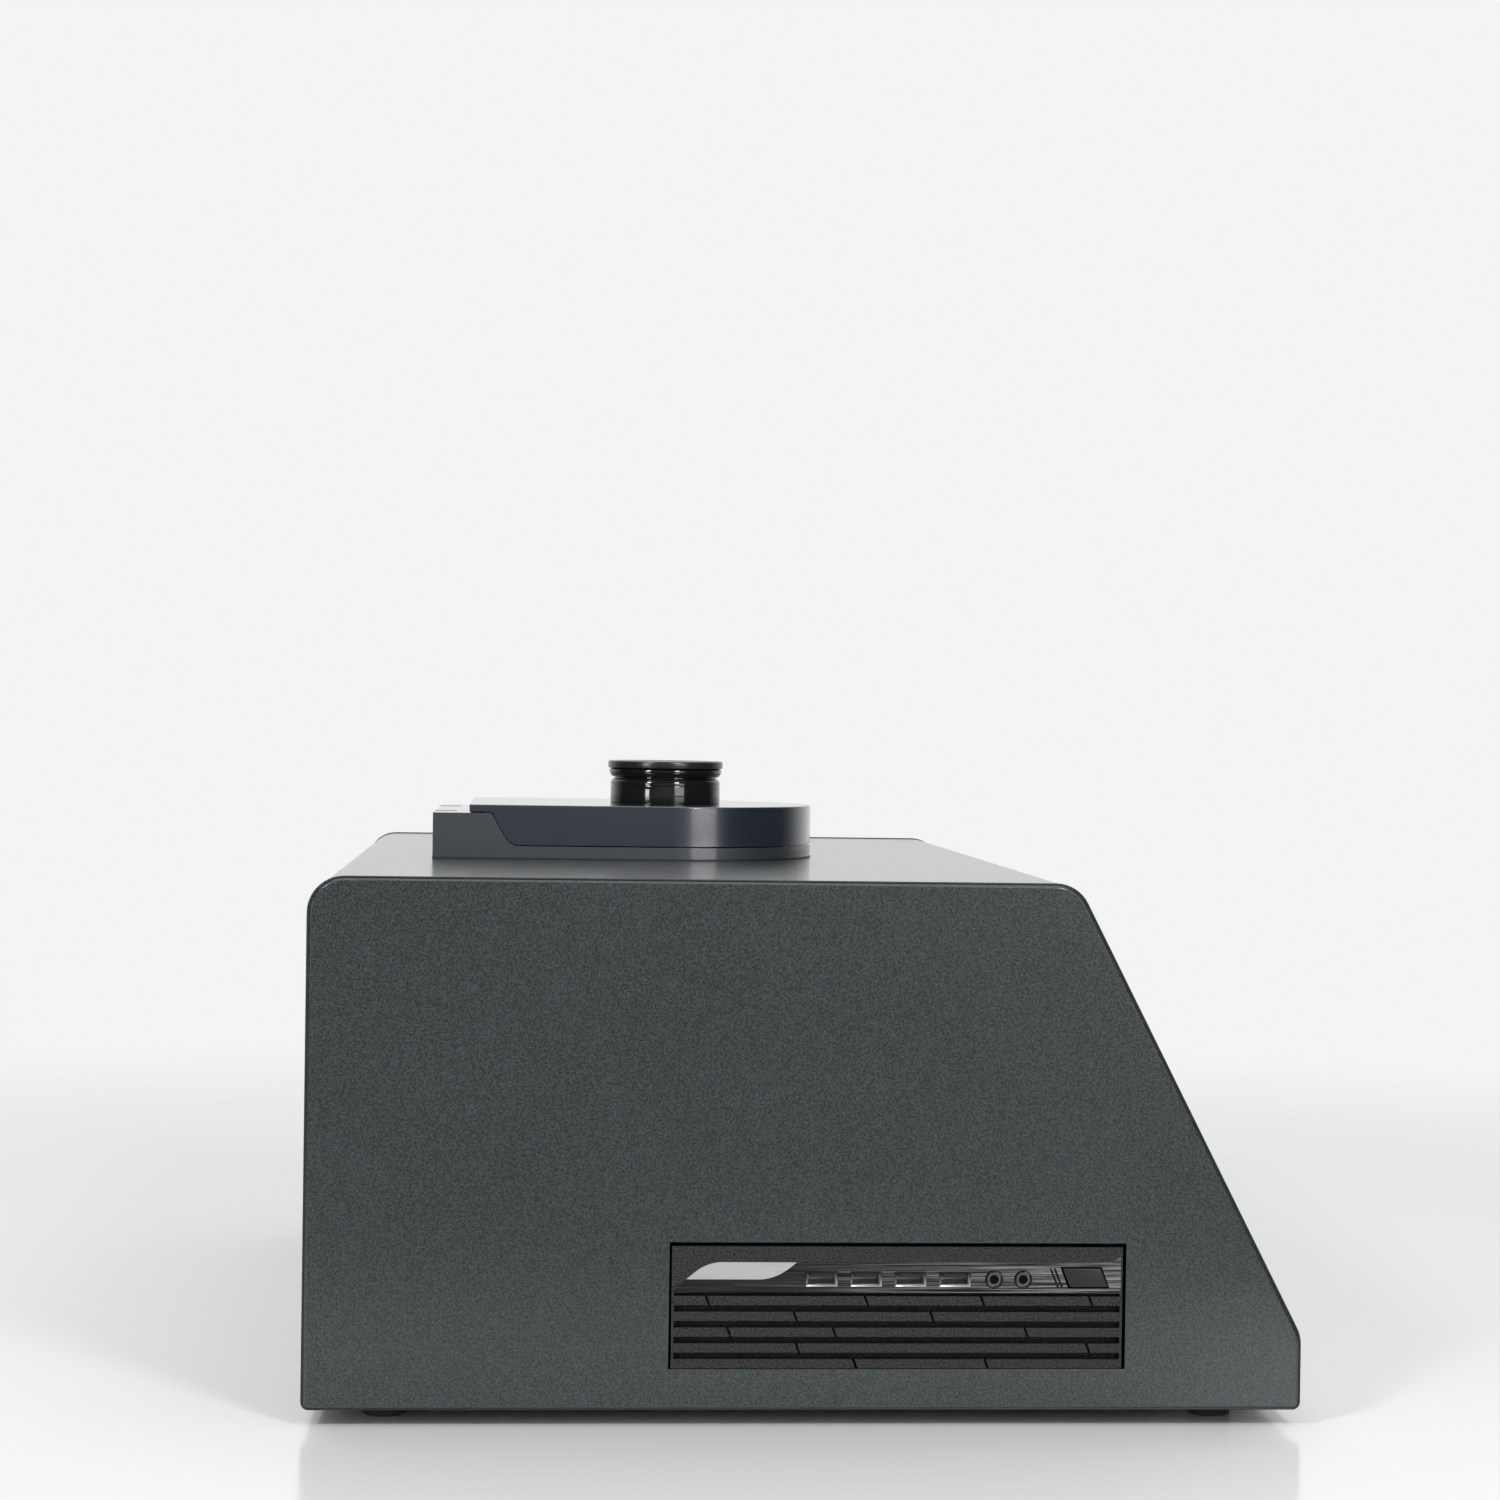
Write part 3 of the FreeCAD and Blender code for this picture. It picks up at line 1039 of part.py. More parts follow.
piece("usb_tongues", group("usb_tongues", *usb_tongues))
piece("audio_jacks", group("audio_jacks", *audio_jacks))
piece("pc_led_bar", slanted("led_bar", led_x, "button_bottom", "button_top", "led_width",
                            bezel_y, "bezel_depth"))
piece("pc_power_button", slanted("button", button_x, "button_bottom", "button_top",
                                 "button_width", f"{bezel_y} - button_proud",
                                 "button_depth"))
badge_right_side = [(0.194, 0.434), (0.227, 0.53), (0.251, 0.735), (0.2745, 1)]
piece("pc_badge", face_slab("badge", band_corners([*badge_left_side, *badge_right_side]),
                            f"{bezel_y} - badge_thickness", "badge_thickness"))

# The computer's own case, its board and the bracket that it stands on
pc_case_y = bezel_back
pc_outer = block("pc_outer", pc_left, pc_case_y, "pc_bottom", "pc_width", "pc_depth", "pc_height")
pc_room = block("pc_room", f"{pc_left} + pc_wall", f"{pc_case_y} - 1", "pc_bottom + pc_wall",
                "pc_width - 2 * pc_wall", "pc_depth + 1 - pc_wall", "pc_height - 2 * pc_wall")
piece("pc_case", cut("pc_case", pc_outer, pc_room))
board = block("pc_board_sheet", f"{pc_left} + 2 * pc_wall", f"{pc_case_y} + usb_depth",
              "pc_bottom + board_lift", "pc_width - 4 * pc_wall",
              "pc_depth - 2 * pc_wall - usb_depth", "board_sheet")
board_feet = [
    block(f"pc_board_foot_{number}", f"{pc_left} + {share} * pc_width",
          f"{pc_case_y} + pc_depth / 2", "pc_bottom + pc_wall", "board_foot", "board_foot",
          "board_lift - pc_wall")
    for number, share in enumerate((0.2, 0.75), 1)
]
piece("pc_board", join("pc_board", board, *board_feet))
tray_blank = block("tray_blank", f"{pc_left} - tray_foot", f"{bezel_back} + tray_gap", floor_top,
                   "pc_width + 2 * tray_foot", "pc_depth - tray_gap", f"pc_bottom - {floor_top}")
tray_under = block("tray_under", f"{pc_left} + tray_sheet", bezel_y, f"{floor_top} - 1",
                   "pc_width - 2 * tray_sheet", "2 * pc_depth",
                   f"pc_bottom - {floor_top} - tray_sheet + 1")
tray_sides = [
    block(f"tray_side_{number}", start, bezel_y, f"{floor_top} + tray_sheet", "tray_foot + 1",
          "2 * pc_depth", "pc_bottom")
    for number, start in enumerate((f"{pc_left} - tray_foot - 1", f"{pc_left} + pc_width"), 1)
]
piece("pc_bracket", cut("pc_bracket", tray_blank, tray_under, *tray_sides))

# Power supply and control board on the floor
piece("power_supply", block("power_supply", "-case_length / 2 + supply_rear_gap",
                            "case_width / 2 - supply_side_gap - supply_width", floor_top,
                            "supply_length",
                            "supply_width", "supply_height"))
control_x = "(case_length / 2 - control_front_gap - control_length)"
control = block("control_sheet", control_x, control_y, f"{floor_top} + control_lift",
                "control_length", "control_width", "board_sheet")
standoffs = []
for end, spot_x in enumerate((f"({control_x} + standoff_inset)",
                              f"({control_x} + control_length - standoff_inset)")):
    for side, spot_y in enumerate((f"({control_y} + standoff_inset)",
                                   f"({control_y} + control_width - standoff_inset)")):
        standoffs.append(hexagon(f"standoff_{end}_{side}", spot_x, spot_y, floor_top,
                                 "standoff_radius", "control_lift"))
piece("control_board", control)
piece("board_standoffs", group("board_standoffs", *standoffs))

# The fan behind the rear slots
fan_x = rear_inside
fan_blank = block("fan_blank", fan_x, f"{fan_y} - fan_side / 2", "fan_z - fan_side / 2",
                  "fan_depth", "fan_side", "fan_side")
fan_bore = rod("fan_bore", "x", f"{fan_x} - 1", fan_y, "fan_z", "fan_bore", "fan_depth + 2")
fan_ring = cut("fan_ring", fan_blank, fan_bore)
web_x = f"({fan_x} + fan_depth - fan_web)"
fan_seat = rod("fan_seat", "x", web_x, fan_y, "fan_z", "fan_hub", "fan_web")
fan_struts = [
    block("fan_strut_level", web_x, f"{fan_y} - fan_bore - 1", "fan_z - fan_strut / 2", "fan_web",
          "2 * fan_bore + 2", "fan_strut"),
    block("fan_strut_upright", web_x, f"{fan_y} - fan_strut / 2", "fan_z - fan_bore - 1", "fan_web",
          "fan_strut", "2 * fan_bore + 2"),
]
piece("fan_frame", join("fan_frame", fan_ring, fan_seat, *fan_struts))
rotor_x = f"({fan_x} + fan_front_gap)"
rotor_depth = "(fan_depth - fan_web - fan_front_gap - fan_gap / 2)"
rotor_hub = rod("rotor_hub", "x", rotor_x, fan_y, "fan_z", "fan_hub", rotor_depth)
blades = []
for blade in range(SIZES["fan_blades"]):
    around = 360 * blade / SIZES["fan_blades"]
    sweep = doc.addObject("Part::Box", f"blade_{blade}")
    bind(sweep, Length="blade_chord", Width="blade_sheet",
         Height="fan_bore - fan_gap - fan_hub + blade_root")
    turn = FreeCAD.Rotation(V(1, 0, 0), around)
    pitch = FreeCAD.Rotation(V(0, 0, 1), value("blade_pitch"))
    sweep.Placement = FreeCAD.Placement(V(), turn * pitch)
    radial = turn.multVec(V(0, 0, 1))
    half = turn.multVec(pitch.multVec(V(1, 0, 0)))
    place(sweep, f"{rotor_x} + {rotor_depth} / 2 - {half.x:.6f} * blade_chord / 2",
          f"{fan_y} + {radial.y:.6f} * (fan_hub - blade_root) - {half.y:.6f} * blade_chord / 2",
          f"fan_z + {radial.z:.6f} * (fan_hub - blade_root) - {half.z:.6f} * blade_chord / 2")
    blades.append(sweep)
rotor_limit = rod("rotor_limit", "x", rotor_x, fan_y, "fan_z", "fan_bore - fan_gap", rotor_depth)
rotor_all = join("rotor_all", rotor_hub, *blades)
piece("fan_rotor", common("fan_rotor", rotor_all, rotor_limit))

# The recessed rear panel with the power inlet and the rocker switch
pan = block("pan_blank", rear_inside, f"{io_y} - io_width / 2 - lip_sheet",
            "io_z - io_height / 2 - lip_sheet", "io_depth", "io_width + 2 * lip_sheet",
            "io_height + 2 * lip_sheet")
pan_room = block("pan_room", f"{rear_inside} - 1", f"{io_y} - io_width / 2", "io_z - io_height / 2",
                 "io_depth + 1 - lip_sheet", "io_width", "io_height")
inlet_y = f"({io_y} + inlet_offset)"
switch_y = f"({io_y} + switch_offset)"
panel_x = f"({rear_inside} + io_depth - lip_sheet)"
inlet_hole = block("inlet_hole", f"{panel_x} - 1", f"{inlet_y} - inlet_width / 2",
                   "io_z - inlet_height / 2", "lip_sheet + 2", "inlet_width", "inlet_height")
switch_hole = block("switch_hole", f"{panel_x} - 1", f"{switch_y} - switch_width / 2 - switch_wall",
                    "io_z - switch_height / 2 - switch_wall", "lip_sheet + 2",
                    "switch_width + 2 * switch_wall", "switch_height + 2 * switch_wall")
piece("rear_io_pan", cut("rear_io_pan", pan, pan_room, inlet_hole, switch_hole))
inlet_body = block("inlet_body", panel_x, f"{inlet_y} - inlet_width / 2",
                   "io_z - inlet_height / 2", "inlet_depth", "inlet_width", "inlet_height")
inlet_flange = block("inlet_flange", f"{panel_x} - inlet_flange_sheet",
                     f"{inlet_y} - inlet_width / 2 - inlet_flange",
                     "io_z - inlet_height / 2 - inlet_flange", "inlet_flange_sheet",
                     "inlet_width + 2 * inlet_flange", "inlet_height + 2 * inlet_flange")
inlet_room = block("inlet_room", f"{panel_x} - inlet_flange_sheet - 1",
                   f"{inlet_y} - inlet_width / 2 + inlet_wall",
                   "io_z - inlet_height / 2 + inlet_wall",
                   "inlet_depth + inlet_flange_sheet + 1 - inlet_wall",
                   "inlet_width - 2 * inlet_wall", "inlet_height - 2 * inlet_wall")
inlet_solid = join("inlet_solid", inlet_body, inlet_flange)
piece("power_inlet", cut("power_inlet", inlet_solid, inlet_room))
inlet_back = f"({panel_x} + inlet_depth - inlet_wall)"
inlet_pins = [
    block(f"inlet_pin_{number}", f"{inlet_back} - inlet_pin_length",
          f"{inlet_y} + {side} * inlet_pin_side - inlet_pin_sheet / 2",
          f"io_z + {rise} * inlet_pin_rise - inlet_pin_width / 2", "inlet_pin_length",
          "inlet_pin_sheet", "inlet_pin_width")
    for number, (side, rise) in enumerate(((-1, 0), (0, 1), (1, 0)), 1)
]
piece("inlet_pins", group("inlet_pins", *inlet_pins))
switch_x = f"({panel_x} - inlet_flange_sheet)"
switch_blank = block("switch_blank", panel_x, f"{switch_y} - switch_width / 2 - switch_wall",
                     "io_z - switch_height / 2 - switch_wall", "switch_depth",
                     "switch_width + 2 * switch_wall", "switch_height + 2 * switch_wall")
switch_flange = block("switch_flange", switch_x,
                      f"{switch_y} - switch_width / 2 - 2 * switch_wall",
                      "io_z - switch_height / 2 - 2 * switch_wall", "inlet_flange_sheet",
                      "switch_width + 4 * switch_wall", "switch_height + 4 * switch_wall")
switch_room = block("switch_room", f"{switch_x} - 1", f"{switch_y} - switch_width / 2",
                    "io_z - switch_height / 2", "switch_depth + inlet_flange_sheet - switch_wall + 1",
                    "switch_width", "switch_height")
switch_solid = join("switch_solid", switch_blank, switch_flange)
rocker_x = f"({panel_x} + rocker_depth)"
pin_seat = rod("rocker_pin_seat", "y", rocker_x,
               f"{switch_y} - switch_width / 2 - pin_seat_depth", "io_z",
               "rocker_pin + rocker_pin_gap", "switch_width + 2 * pin_seat_depth")
piece("switch_frame", cut("switch_frame", switch_solid, switch_room, pin_seat))
rocker = body("rocker")
profile = sketch(rocker, "XZ_Plane", "rocker_outline")
half_rocker = "(switch_height / 2 - rocker_gap - 3 * rocker_edge)"
face_out = f"({switch_x} - {rocker_x} - rocker_proud)"
outline(profile, [
    ("rocker_depth", "-rocker_back"),
    (f"{face_out} + rocker_edge_depth", f"-{half_rocker}"),
    (face_out, f"-{half_rocker} + rocker_edge"),
    (f"{face_out} + rocker_dip", "0"),
    (face_out, f"{half_rocker} - rocker_edge"),
    (f"{face_out} + rocker_edge_depth", half_rocker),
    ("rocker_depth", "rocker_back"),
])
pad(rocker, profile, "switch_width - 2 * rocker_gap", "rocker_pad", middle=True)
profile = sketch(rocker, "XZ_Plane", "rocker_pin_outline")
circle(profile, "0", "0", "rocker_pin")
pad(rocker, profile, "switch_width + 2 * (pin_seat_depth - rocker_edge)", "rocker_pin_pad",
    middle=True)
rocker.Placement = FreeCAD.Placement(V(), FreeCAD.Rotation(V(0, 1, 0), 8))
rocker.setExpression("Placement.Rotation.Angle", formula("rocker_tilt"))
place(rocker, rocker_x, switch_y, "io_z")
piece("power_rocker", rocker)

# Everything is worked out, tested and written, one file for each sub-part
doc.recompute()
for thing in doc.Objects:
    if "Invalid" in thing.State or "Error" in thing.State:
        raise ValueError(f"{thing.Label} failed: {thing.State}")
for thing in pieces:
    if thing.Shape.isNull() or not thing.Shape.isValid() or not thing.Shape.Solids:
        raise ValueError(f"{thing.Label} has no sound shape")
os.makedirs("parts", exist_ok=True)
for thing in pieces:
    thing.Shape.exportStep(f"parts/{thing.Label}.step")
print(len(pieces), "sub-parts written")
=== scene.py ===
import math
import bpy
from mathutils import Matrix, Vector


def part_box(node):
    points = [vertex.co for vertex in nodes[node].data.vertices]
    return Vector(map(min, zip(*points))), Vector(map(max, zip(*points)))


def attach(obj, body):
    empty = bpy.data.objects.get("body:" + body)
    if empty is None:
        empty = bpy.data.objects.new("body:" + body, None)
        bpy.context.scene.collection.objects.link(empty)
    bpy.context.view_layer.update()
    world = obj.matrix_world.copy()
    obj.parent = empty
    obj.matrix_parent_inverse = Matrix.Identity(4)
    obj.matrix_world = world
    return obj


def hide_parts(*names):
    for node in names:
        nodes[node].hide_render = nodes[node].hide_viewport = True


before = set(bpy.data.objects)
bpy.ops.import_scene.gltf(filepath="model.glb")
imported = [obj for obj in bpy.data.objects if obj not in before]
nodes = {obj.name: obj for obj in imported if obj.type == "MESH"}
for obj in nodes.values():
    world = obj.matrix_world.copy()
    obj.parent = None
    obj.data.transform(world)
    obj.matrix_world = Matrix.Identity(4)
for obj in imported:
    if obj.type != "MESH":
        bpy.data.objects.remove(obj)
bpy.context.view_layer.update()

# The case is a wrap of folded sheet between two flat side panels, all in a dark
# grey-green powder coat with a fine leathery grain. The near panel has a window
# for the small computer. Its folds and rims keep a small round edge.


class Wire:
    """A shader socket that sums and products can be written with."""

    def __init__(self, finish, socket):
        self.finish = finish
        self.socket = socket

    def math(self, operation, *others):
        values = (self, *others)
        return self.finish.node("ShaderNodeMath", {"operation": operation},
                                dict(enumerate(values)))

    def __add__(self, other):
        return self.math("ADD", other)

    def __radd__(self, other):
        return self.math("ADD", other)

    def __sub__(self, other):
        return self.math("SUBTRACT", other)

    def __rsub__(self, other):
        return self.finish.node("ShaderNodeMath", {"operation": "SUBTRACT"}, {0: other, 1: self})

    def __mul__(self, other):
        return self.math("MULTIPLY", other)

    def __rmul__(self, other):
        return self.math("MULTIPLY", other)


class Finish:
    """A surface finish: a material whose nodes are added one call at a time."""

    def __init__(self, name, kept=bpy.data.materials, shader="Principled BSDF", place="Object"):
        self.material = kept.new(name)
        self.material.use_nodes = True
        self.tree = self.material.node_tree
        self.shader = self.tree.nodes[shader]
        self.place = self.node("ShaderNodeTexCoord", {}, {}, place)

    def node(self, kind, settings, sockets, output=0):
        """A node of this kind: its settings first, then its sockets' values or wires."""
        new = self.tree.nodes.new(kind)
        for name, setting in settings.items():
            setattr(new, name, setting)
        for name, given in sockets.items():
            if isinstance(given, Wire):
                self.tree.links.new(given.socket, new.inputs[name])
            else:
                new.inputs[name].default_value = given
        return Wire(self, new.outputs[output])

    def grain(self, scale, detail=2.0, rough=0.5, at=None):
        """Noise of so many cells to the metre."""
        return self.node("ShaderNodeTexNoise", {}, {
            "Vector": at or self.place, "Scale": scale, "Detail": detail, "Roughness": rough})

    def ease(self, wire, start, end):
        """Rises from 0 to 1 while a value goes from start to end."""
        return self.node("ShaderNodeMapRange", {"interpolation_type": "SMOOTHSTEP"}, {
            "Value": wire, "From Min": start, "From Max": end})

    def axis(self, letter):
        """One coordinate of the place on the surface."""
        return self.node("ShaderNodeSeparateXYZ", {}, {0: self.place}, letter)

    def mix(self, low, high, factor):
        """A colour between two, by a factor."""
        return self.node("ShaderNodeMix", {"data_type": "RGBA"},
                         {"Factor": factor, 6: low, 7: high}, 2)

    def bump(self, height, distance, strength=1.0):
        """Feeds the shader's normal with a height, in metres."""
        self.set(Normal=self.node("ShaderNodeBump", {}, {
            "Height": height, "Distance": distance, "Strength": strength}))

    def set(self, **sockets):
        """Sets or links the shader's own sockets, with _ for each space."""
        for name, given in sockets.items():
            socket = self.shader.inputs[name.replace("_", " ")]
            if isinstance(given, Wire):
                self.tree.links.new(given.socket, socket)
            else:
                socket.default_value = given


same_point = 0.00001
flat_bend = math.radians(0.5)
sharp_bend = math.radians(35)


def wear(node, finish, edge=0.0004, steps=2):
    """Gives a node its finish, merges its facets and rounds its sharp edges a little.

    An edge of 0 leaves them sharp, and only parts the shading there.
    """
    thing = nodes[node]
    thing.data.materials.clear()
    thing.data.materials.append(finish.material)
    thing.data.polygons.foreach_set("use_smooth", [True] * len(thing.data.polygons))
    weld = thing.modifiers.new("weld", "WELD")
    weld.merge_threshold = same_point
    flat = thing.modifiers.new("flat", "DECIMATE")
    flat.decimate_type = "DISSOLVE"
    flat.angle_limit = flat_bend
    if edge:
        bevel = thing.modifiers.new("edge", "BEVEL")
        bevel.width = edge
        bevel.segments = steps
        bevel.limit_method = "ANGLE"
        bevel.angle_limit = sharp_bend
    else:
        parted = thing.modifiers.new("parted", "EDGE_SPLIT")
        parted.split_angle = sharp_bend
    thing.modifiers.new("shade", "WEIGHTED_NORMAL")


case_paint = Finish("powder coat")
pores = case_paint.grain(1150, 3.0, 0.6)
cells = case_paint.node("ShaderNodeTexVoronoi", {"feature": "SMOOTH_F1"}, {
    "Vector": case_paint.place, "Scale": 700, "Smoothness": 0.6})
patches = case_paint.grain(14, 4.0)
skin = case_paint.ease(pores, 0.34, 0.68)
case_paint.set(
    Base_Color=case_paint.mix(
        (0.002, 0.006, 0.007, 1), (0.041, 0.05, 0.053, 1), skin * 0.8 + patches * 0.2),
    Roughness=0.32 + skin * 0.16,
    Specular_IOR_Level=0.35,
    Coat_Weight=0.95,
    Coat_Roughness=0.18)
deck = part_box("case_wrap")[1].z
flat_from, flat_to = deck - 0.0006, deck - 0.0001
wiped = case_paint.ease(case_paint.axis("Z"), flat_from, flat_to)
case_paint.bump((pores * 0.6 + cells * 0.5) * (1 - wiped * 0.9), 0.00015)
wear("case_wrap", case_paint, 0)
for name in ("near_side_panel", "far_side_panel"):
    wear(name, case_paint, 0.0005, 3)

# A fine black satin bead is laid round each side panel, where it meets the wrap. It is a dark
# piece that stands for painted shade in the seam. Its line is what stays of a copy of the panel
# when only the rim of the outer face is kept, without the window's.


def dress(piece, finish, body, slot, *stood_for, crease=40):
    """Gives a new piece its finish and its body, and hides the nodes it stands for; its slot is
    not used.
    """
    piece.data.materials.clear()
    piece.data.materials.append(finish.material)
    bpy.ops.object.select_all(action="DESELECT")
    piece.select_set(True)
    bpy.context.view_layer.objects.active = piece
    bpy.ops.object.shade_smooth_by_angle(angle=math.radians(crease))
    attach(piece, body)
    if stood_for:
        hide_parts(*stood_for)


# Painted shade: this near-black finish, on the bead and on the stage's joint, stands for the
# shade in the seams.
seam_shade = Finish("seam_shade")
runs = seam_shade.grain(500, 3.0)
seam_shade.set(Base_Color=seam_shade.mix((0.003, 0.003, 0.003, 1), (0.012, 0.012, 0.012, 1), runs),
            Roughness=0.4 + runs * 0.2)
bead_radius = 0.00055
window_low, window_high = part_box("pc_bezel")
window_margin = 0.01
facing_out = 0.1
for side, place in ((-1, "near"), (1, "far")):
    bpy.ops.object.select_all(action="DESELECT")
    bead = bpy.data.objects.new(f"shade_bead_{place}", nodes[f"{place}_side_panel"].data.copy())
    bpy.context.scene.collection.objects.link(bead)
    bead.select_set(True)
    bpy.context.view_layer.objects.active = bead
    bpy.ops.object.mode_set(mode="EDIT")
    bpy.ops.mesh.select_all(action="SELECT")
    bpy.ops.mesh.remove_doubles(threshold=same_point)
    bpy.ops.mesh.select_mode(type="FACE")
    bpy.ops.mesh.select_all(action="DESELECT")
    bpy.ops.object.mode_set(mode="OBJECT")
    for face in bead.data.polygons:
        face.select = face.normal.y * side < facing_out
    bpy.ops.object.mode_set(mode="EDIT")
    bpy.ops.mesh.delete(type="FACE")
    bpy.ops.mesh.select_mode(type="EDGE")
    bpy.ops.mesh.select_all(action="SELECT")
    bpy.ops.mesh.region_to_loop()
    bpy.ops.mesh.select_all(action="INVERT")
    bpy.ops.mesh.delete(type="EDGE_FACE")
    bpy.ops.mesh.select_mode(type="VERT")
    bpy.ops.mesh.select_all(action="DESELECT")
    bpy.ops.object.mode_set(mode="OBJECT")
    for corner in bead.data.vertices:
        corner.select = (
            side < 0
            and window_low.x - window_margin < corner.co.x < window_high.x + window_margin
            and window_low.z - window_margin < corner.co.z < window_high.z + window_margin)
    bpy.ops.object.mode_set(mode="EDIT")
    bpy.ops.mesh.delete(type="VERT")
    bpy.ops.object.mode_set(mode="OBJECT")
    bpy.ops.object.convert(target="CURVE")
    bead.data.bevel_depth = bead_radius
    bead.data.bevel_resolution = 2
    bpy.ops.object.convert(target="MESH")
    bead = bpy.context.object
    dress(bead, seam_shade, "case", "rubber")

# The floor plate, the computer's bracket and case, the power supply and the spectrometer's
# cover are folded from zinc-plated sheet. A faint spangle shows in the zinc.
plated = Finish("zinc plate")
spangle = plated.node("ShaderNodeTexVoronoi", {}, {"Vector": plated.place, "Scale": 90}, "Color")
plated.set(
    Base_Color=plated.mix((0.42, 0.43, 0.44, 1), (0.6, 0.61, 0.62, 1), spangle),
    Metallic=1.0,
    Roughness=0.34 + plated.grain(400) * 0.2)
for name in ("base_plate", "pc_bracket", "pc_case", "power_supply", "spectrometer_cover"):
    wear(name, plated, 0.0003)

# The four feet under the floor plate and the ring that seals the lid on the stage are
# moulded rubber, with a dull skin and a little dust.
rubber = Finish("rubber")
dust = rubber.grain(700, 4.0)
rubber.set(
    Base_Color=rubber.mix((0.018, 0.018, 0.019, 1), (0.045, 0.045, 0.046, 1), dust),
    Roughness=0.62 + dust * 0.25)
rubber.bump(dust, 0.00015, 0.5)
for name in ("foot_rear_near", "foot_rear_far", "foot_front_near", "foot_front_far",
             "stage_seal"):
    wear(name, rubber, 0.0004)

# Screws, the hinge pin and the pins of the mains inlet are turned from steel and plated.
# The shells of the USB sockets are folded from thin plated sheet.
screw_steel = Finish("plated steel")
swirl = screw_steel.grain(1800, 2.0)
screw_steel.set(
    Base_Color=screw_steel.mix((0.45, 0.45, 0.44, 1), (0.66, 0.66, 0.65, 1), swirl),
    Metallic=1.0,
    Roughness=0.28 + swirl * 0.2)
for name in ("foot_screws", "stage_screws", "knob_screw", "hinge_pin", "inlet_pins",
             "usb_shells"):
    wear(name, screw_steel, 0.0001)

# The display: a touch glass with a black printed border, its frame and the panel behind
# it. The dark panel shows through the glass as a slightly lighter field.
glass = Finish("display glass")
glass_low, glass_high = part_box("touch_glass")
glass_rise = math.atan2(glass_high.z - glass_low.z, glass_high.x - glass_low.x)
glass_middle = [(low + high) / 2 for low, high in zip(glass_low, glass_high)]
border_width = 0.014
glass_slope = math.hypot(glass_high.z - glass_low.z, glass_high.x - glass_low.x)
field_half = (glass_high.y - glass_low.y) / 2 - border_width
field_rise = glass_slope / 2 - border_width
print_edge = 0.0002
across = (glass.axis("Y") - glass_middle[1]).math("ABSOLUTE")
along = ((glass.axis("Z") - glass_middle[2]) * math.sin(glass_rise)
         - (glass.axis("X") - glass_middle[0]) * math.cos(glass_rise)).math("ABSOLUTE")
border = glass.ease(across, field_half - print_edge, field_half + print_edge).math(
    "MAXIMUM", glass.ease(along, field_rise - print_edge, field_rise + print_edge))
smears = glass.grain(26, 4.0)
glass.set(Base_Color=glass.mix((0.013, 0.014, 0.017, 1), (0.0025, 0.0025, 0.003, 1), border),
          Roughness=0.045 + smears * 0.06, Coat_Weight=0.5, Coat_Roughness=0.02)
wear("touch_glass", glass, 0.0004)

# The display's frame and the module behind it, the fan and its frame, the rear switch, the
# mains inlet and the tongues in the USB sockets are moulded in black plastic, with a fine
# matt grain.
black = Finish("black plastic")
moulded = black.grain(1600, 3.0)
black.set(
    Base_Color=black.mix((0.014, 0.014, 0.015, 1), (0.03, 0.03, 0.031, 1), moulded),
    Roughness=0.45 + moulded * 0.2)
black.bump(moulded, 0.0001, 0.4)
for name in ("display_frame", "lcd_module", "switch_frame", "power_rocker", "power_inlet",
             "fan_frame", "fan_rotor", "usb_tongues"):
    wear(name, black, 0.0002)

# The base of the sample stage is milled in one piece, with the block that the lid hinges on
# and the tray round the turntable. It is anodised in a dark grey with a blue cast.
stage_metal = Finish("dark anodised block")
fine = stage_metal.grain(2600, 3.0)
stage_metal.set(
    Base_Color=stage_metal.mix((0.022, 0.027, 0.032, 1), (0.048, 0.057, 0.065, 1), fine),
    Metallic=0.4,
    Roughness=0.38 + fine * 0.12,
    Specular_IOR_Level=0.8,
    Coat_Weight=1.0,
    Coat_Roughness=0.08)
stage_metal.bump(fine, 0.000012, 0.5)
wear("stage_base", stage_metal, 0.0004)

# The lid is milled with its tongue and its two hinge lugs, and turns on a pin through the
# block. It is anodised in a very dark blue with a silky surface.
lid_metal = Finish("blue anodised lid")
silk = lid_metal.grain(2400, 3.0)
lid_metal.set(
    Base_Color=lid_metal.mix((0.01, 0.015, 0.025, 1), (0.022, 0.031, 0.048, 1), silk),
    Metallic=0.3,
    Roughness=0.2 + silk * 0.12,
    Specular_IOR_Level=0.9,
    Coat_Weight=0.95,
    Coat_Roughness=0.12)
lid_metal.bump(silk, 0.000012, 0.5)
wear("lid_shell", lid_metal, 0.0003)

# The stage stands on a thin flat black joint, a dark piece that stands for painted shade in the
# gap under its base. It follows the outline of the base, square at the back and round at the
# front, and reaches a little past it.
base_low, base_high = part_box("stage_base")
stage_wide = base_high.y - base_low.y
joint_overhang = 0.00015
joint_thick = 0.0009
bpy.ops.object.select_all(action="DESELECT")
bpy.ops.mesh.primitive_cube_add(size=1, location=(
    (base_low.x + base_high.x) / 2, 0, deck + joint_thick / 2))
joint = bpy.context.object
joint.name = "stage_joint"
joint.scale = (base_high.x - base_low.x + 2 * joint_overhang, stage_wide + 2 * joint_overhang, joint_thick)
bpy.ops.object.transform_apply(location=True, rotation=True, scale=True)
bpy.ops.object.mode_set(mode="EDIT")
bpy.ops.mesh.select_mode(type="EDGE")
bpy.ops.mesh.select_all(action="DESELECT")
bpy.ops.object.mode_set(mode="OBJECT")
for edge in joint.data.edges:
    ends = [joint.data.vertices[index].co for index in edge.vertices]
    edge.select = abs(ends[0].z - ends[1].z) > joint_thick / 2 and ends[0].x > 0
bpy.ops.object.mode_set(mode="EDIT")
bpy.ops.mesh.bevel(offset=stage_wide / 2, segments=48, affect="EDGES", profile=0.5)
bpy.ops.mesh.select_all(action="SELECT")
bpy.ops.mesh.remove_doubles(threshold=same_point)
bpy.ops.mesh.normals_make_consistent(inside=False)
bpy.ops.object.mode_set(mode="OBJECT")
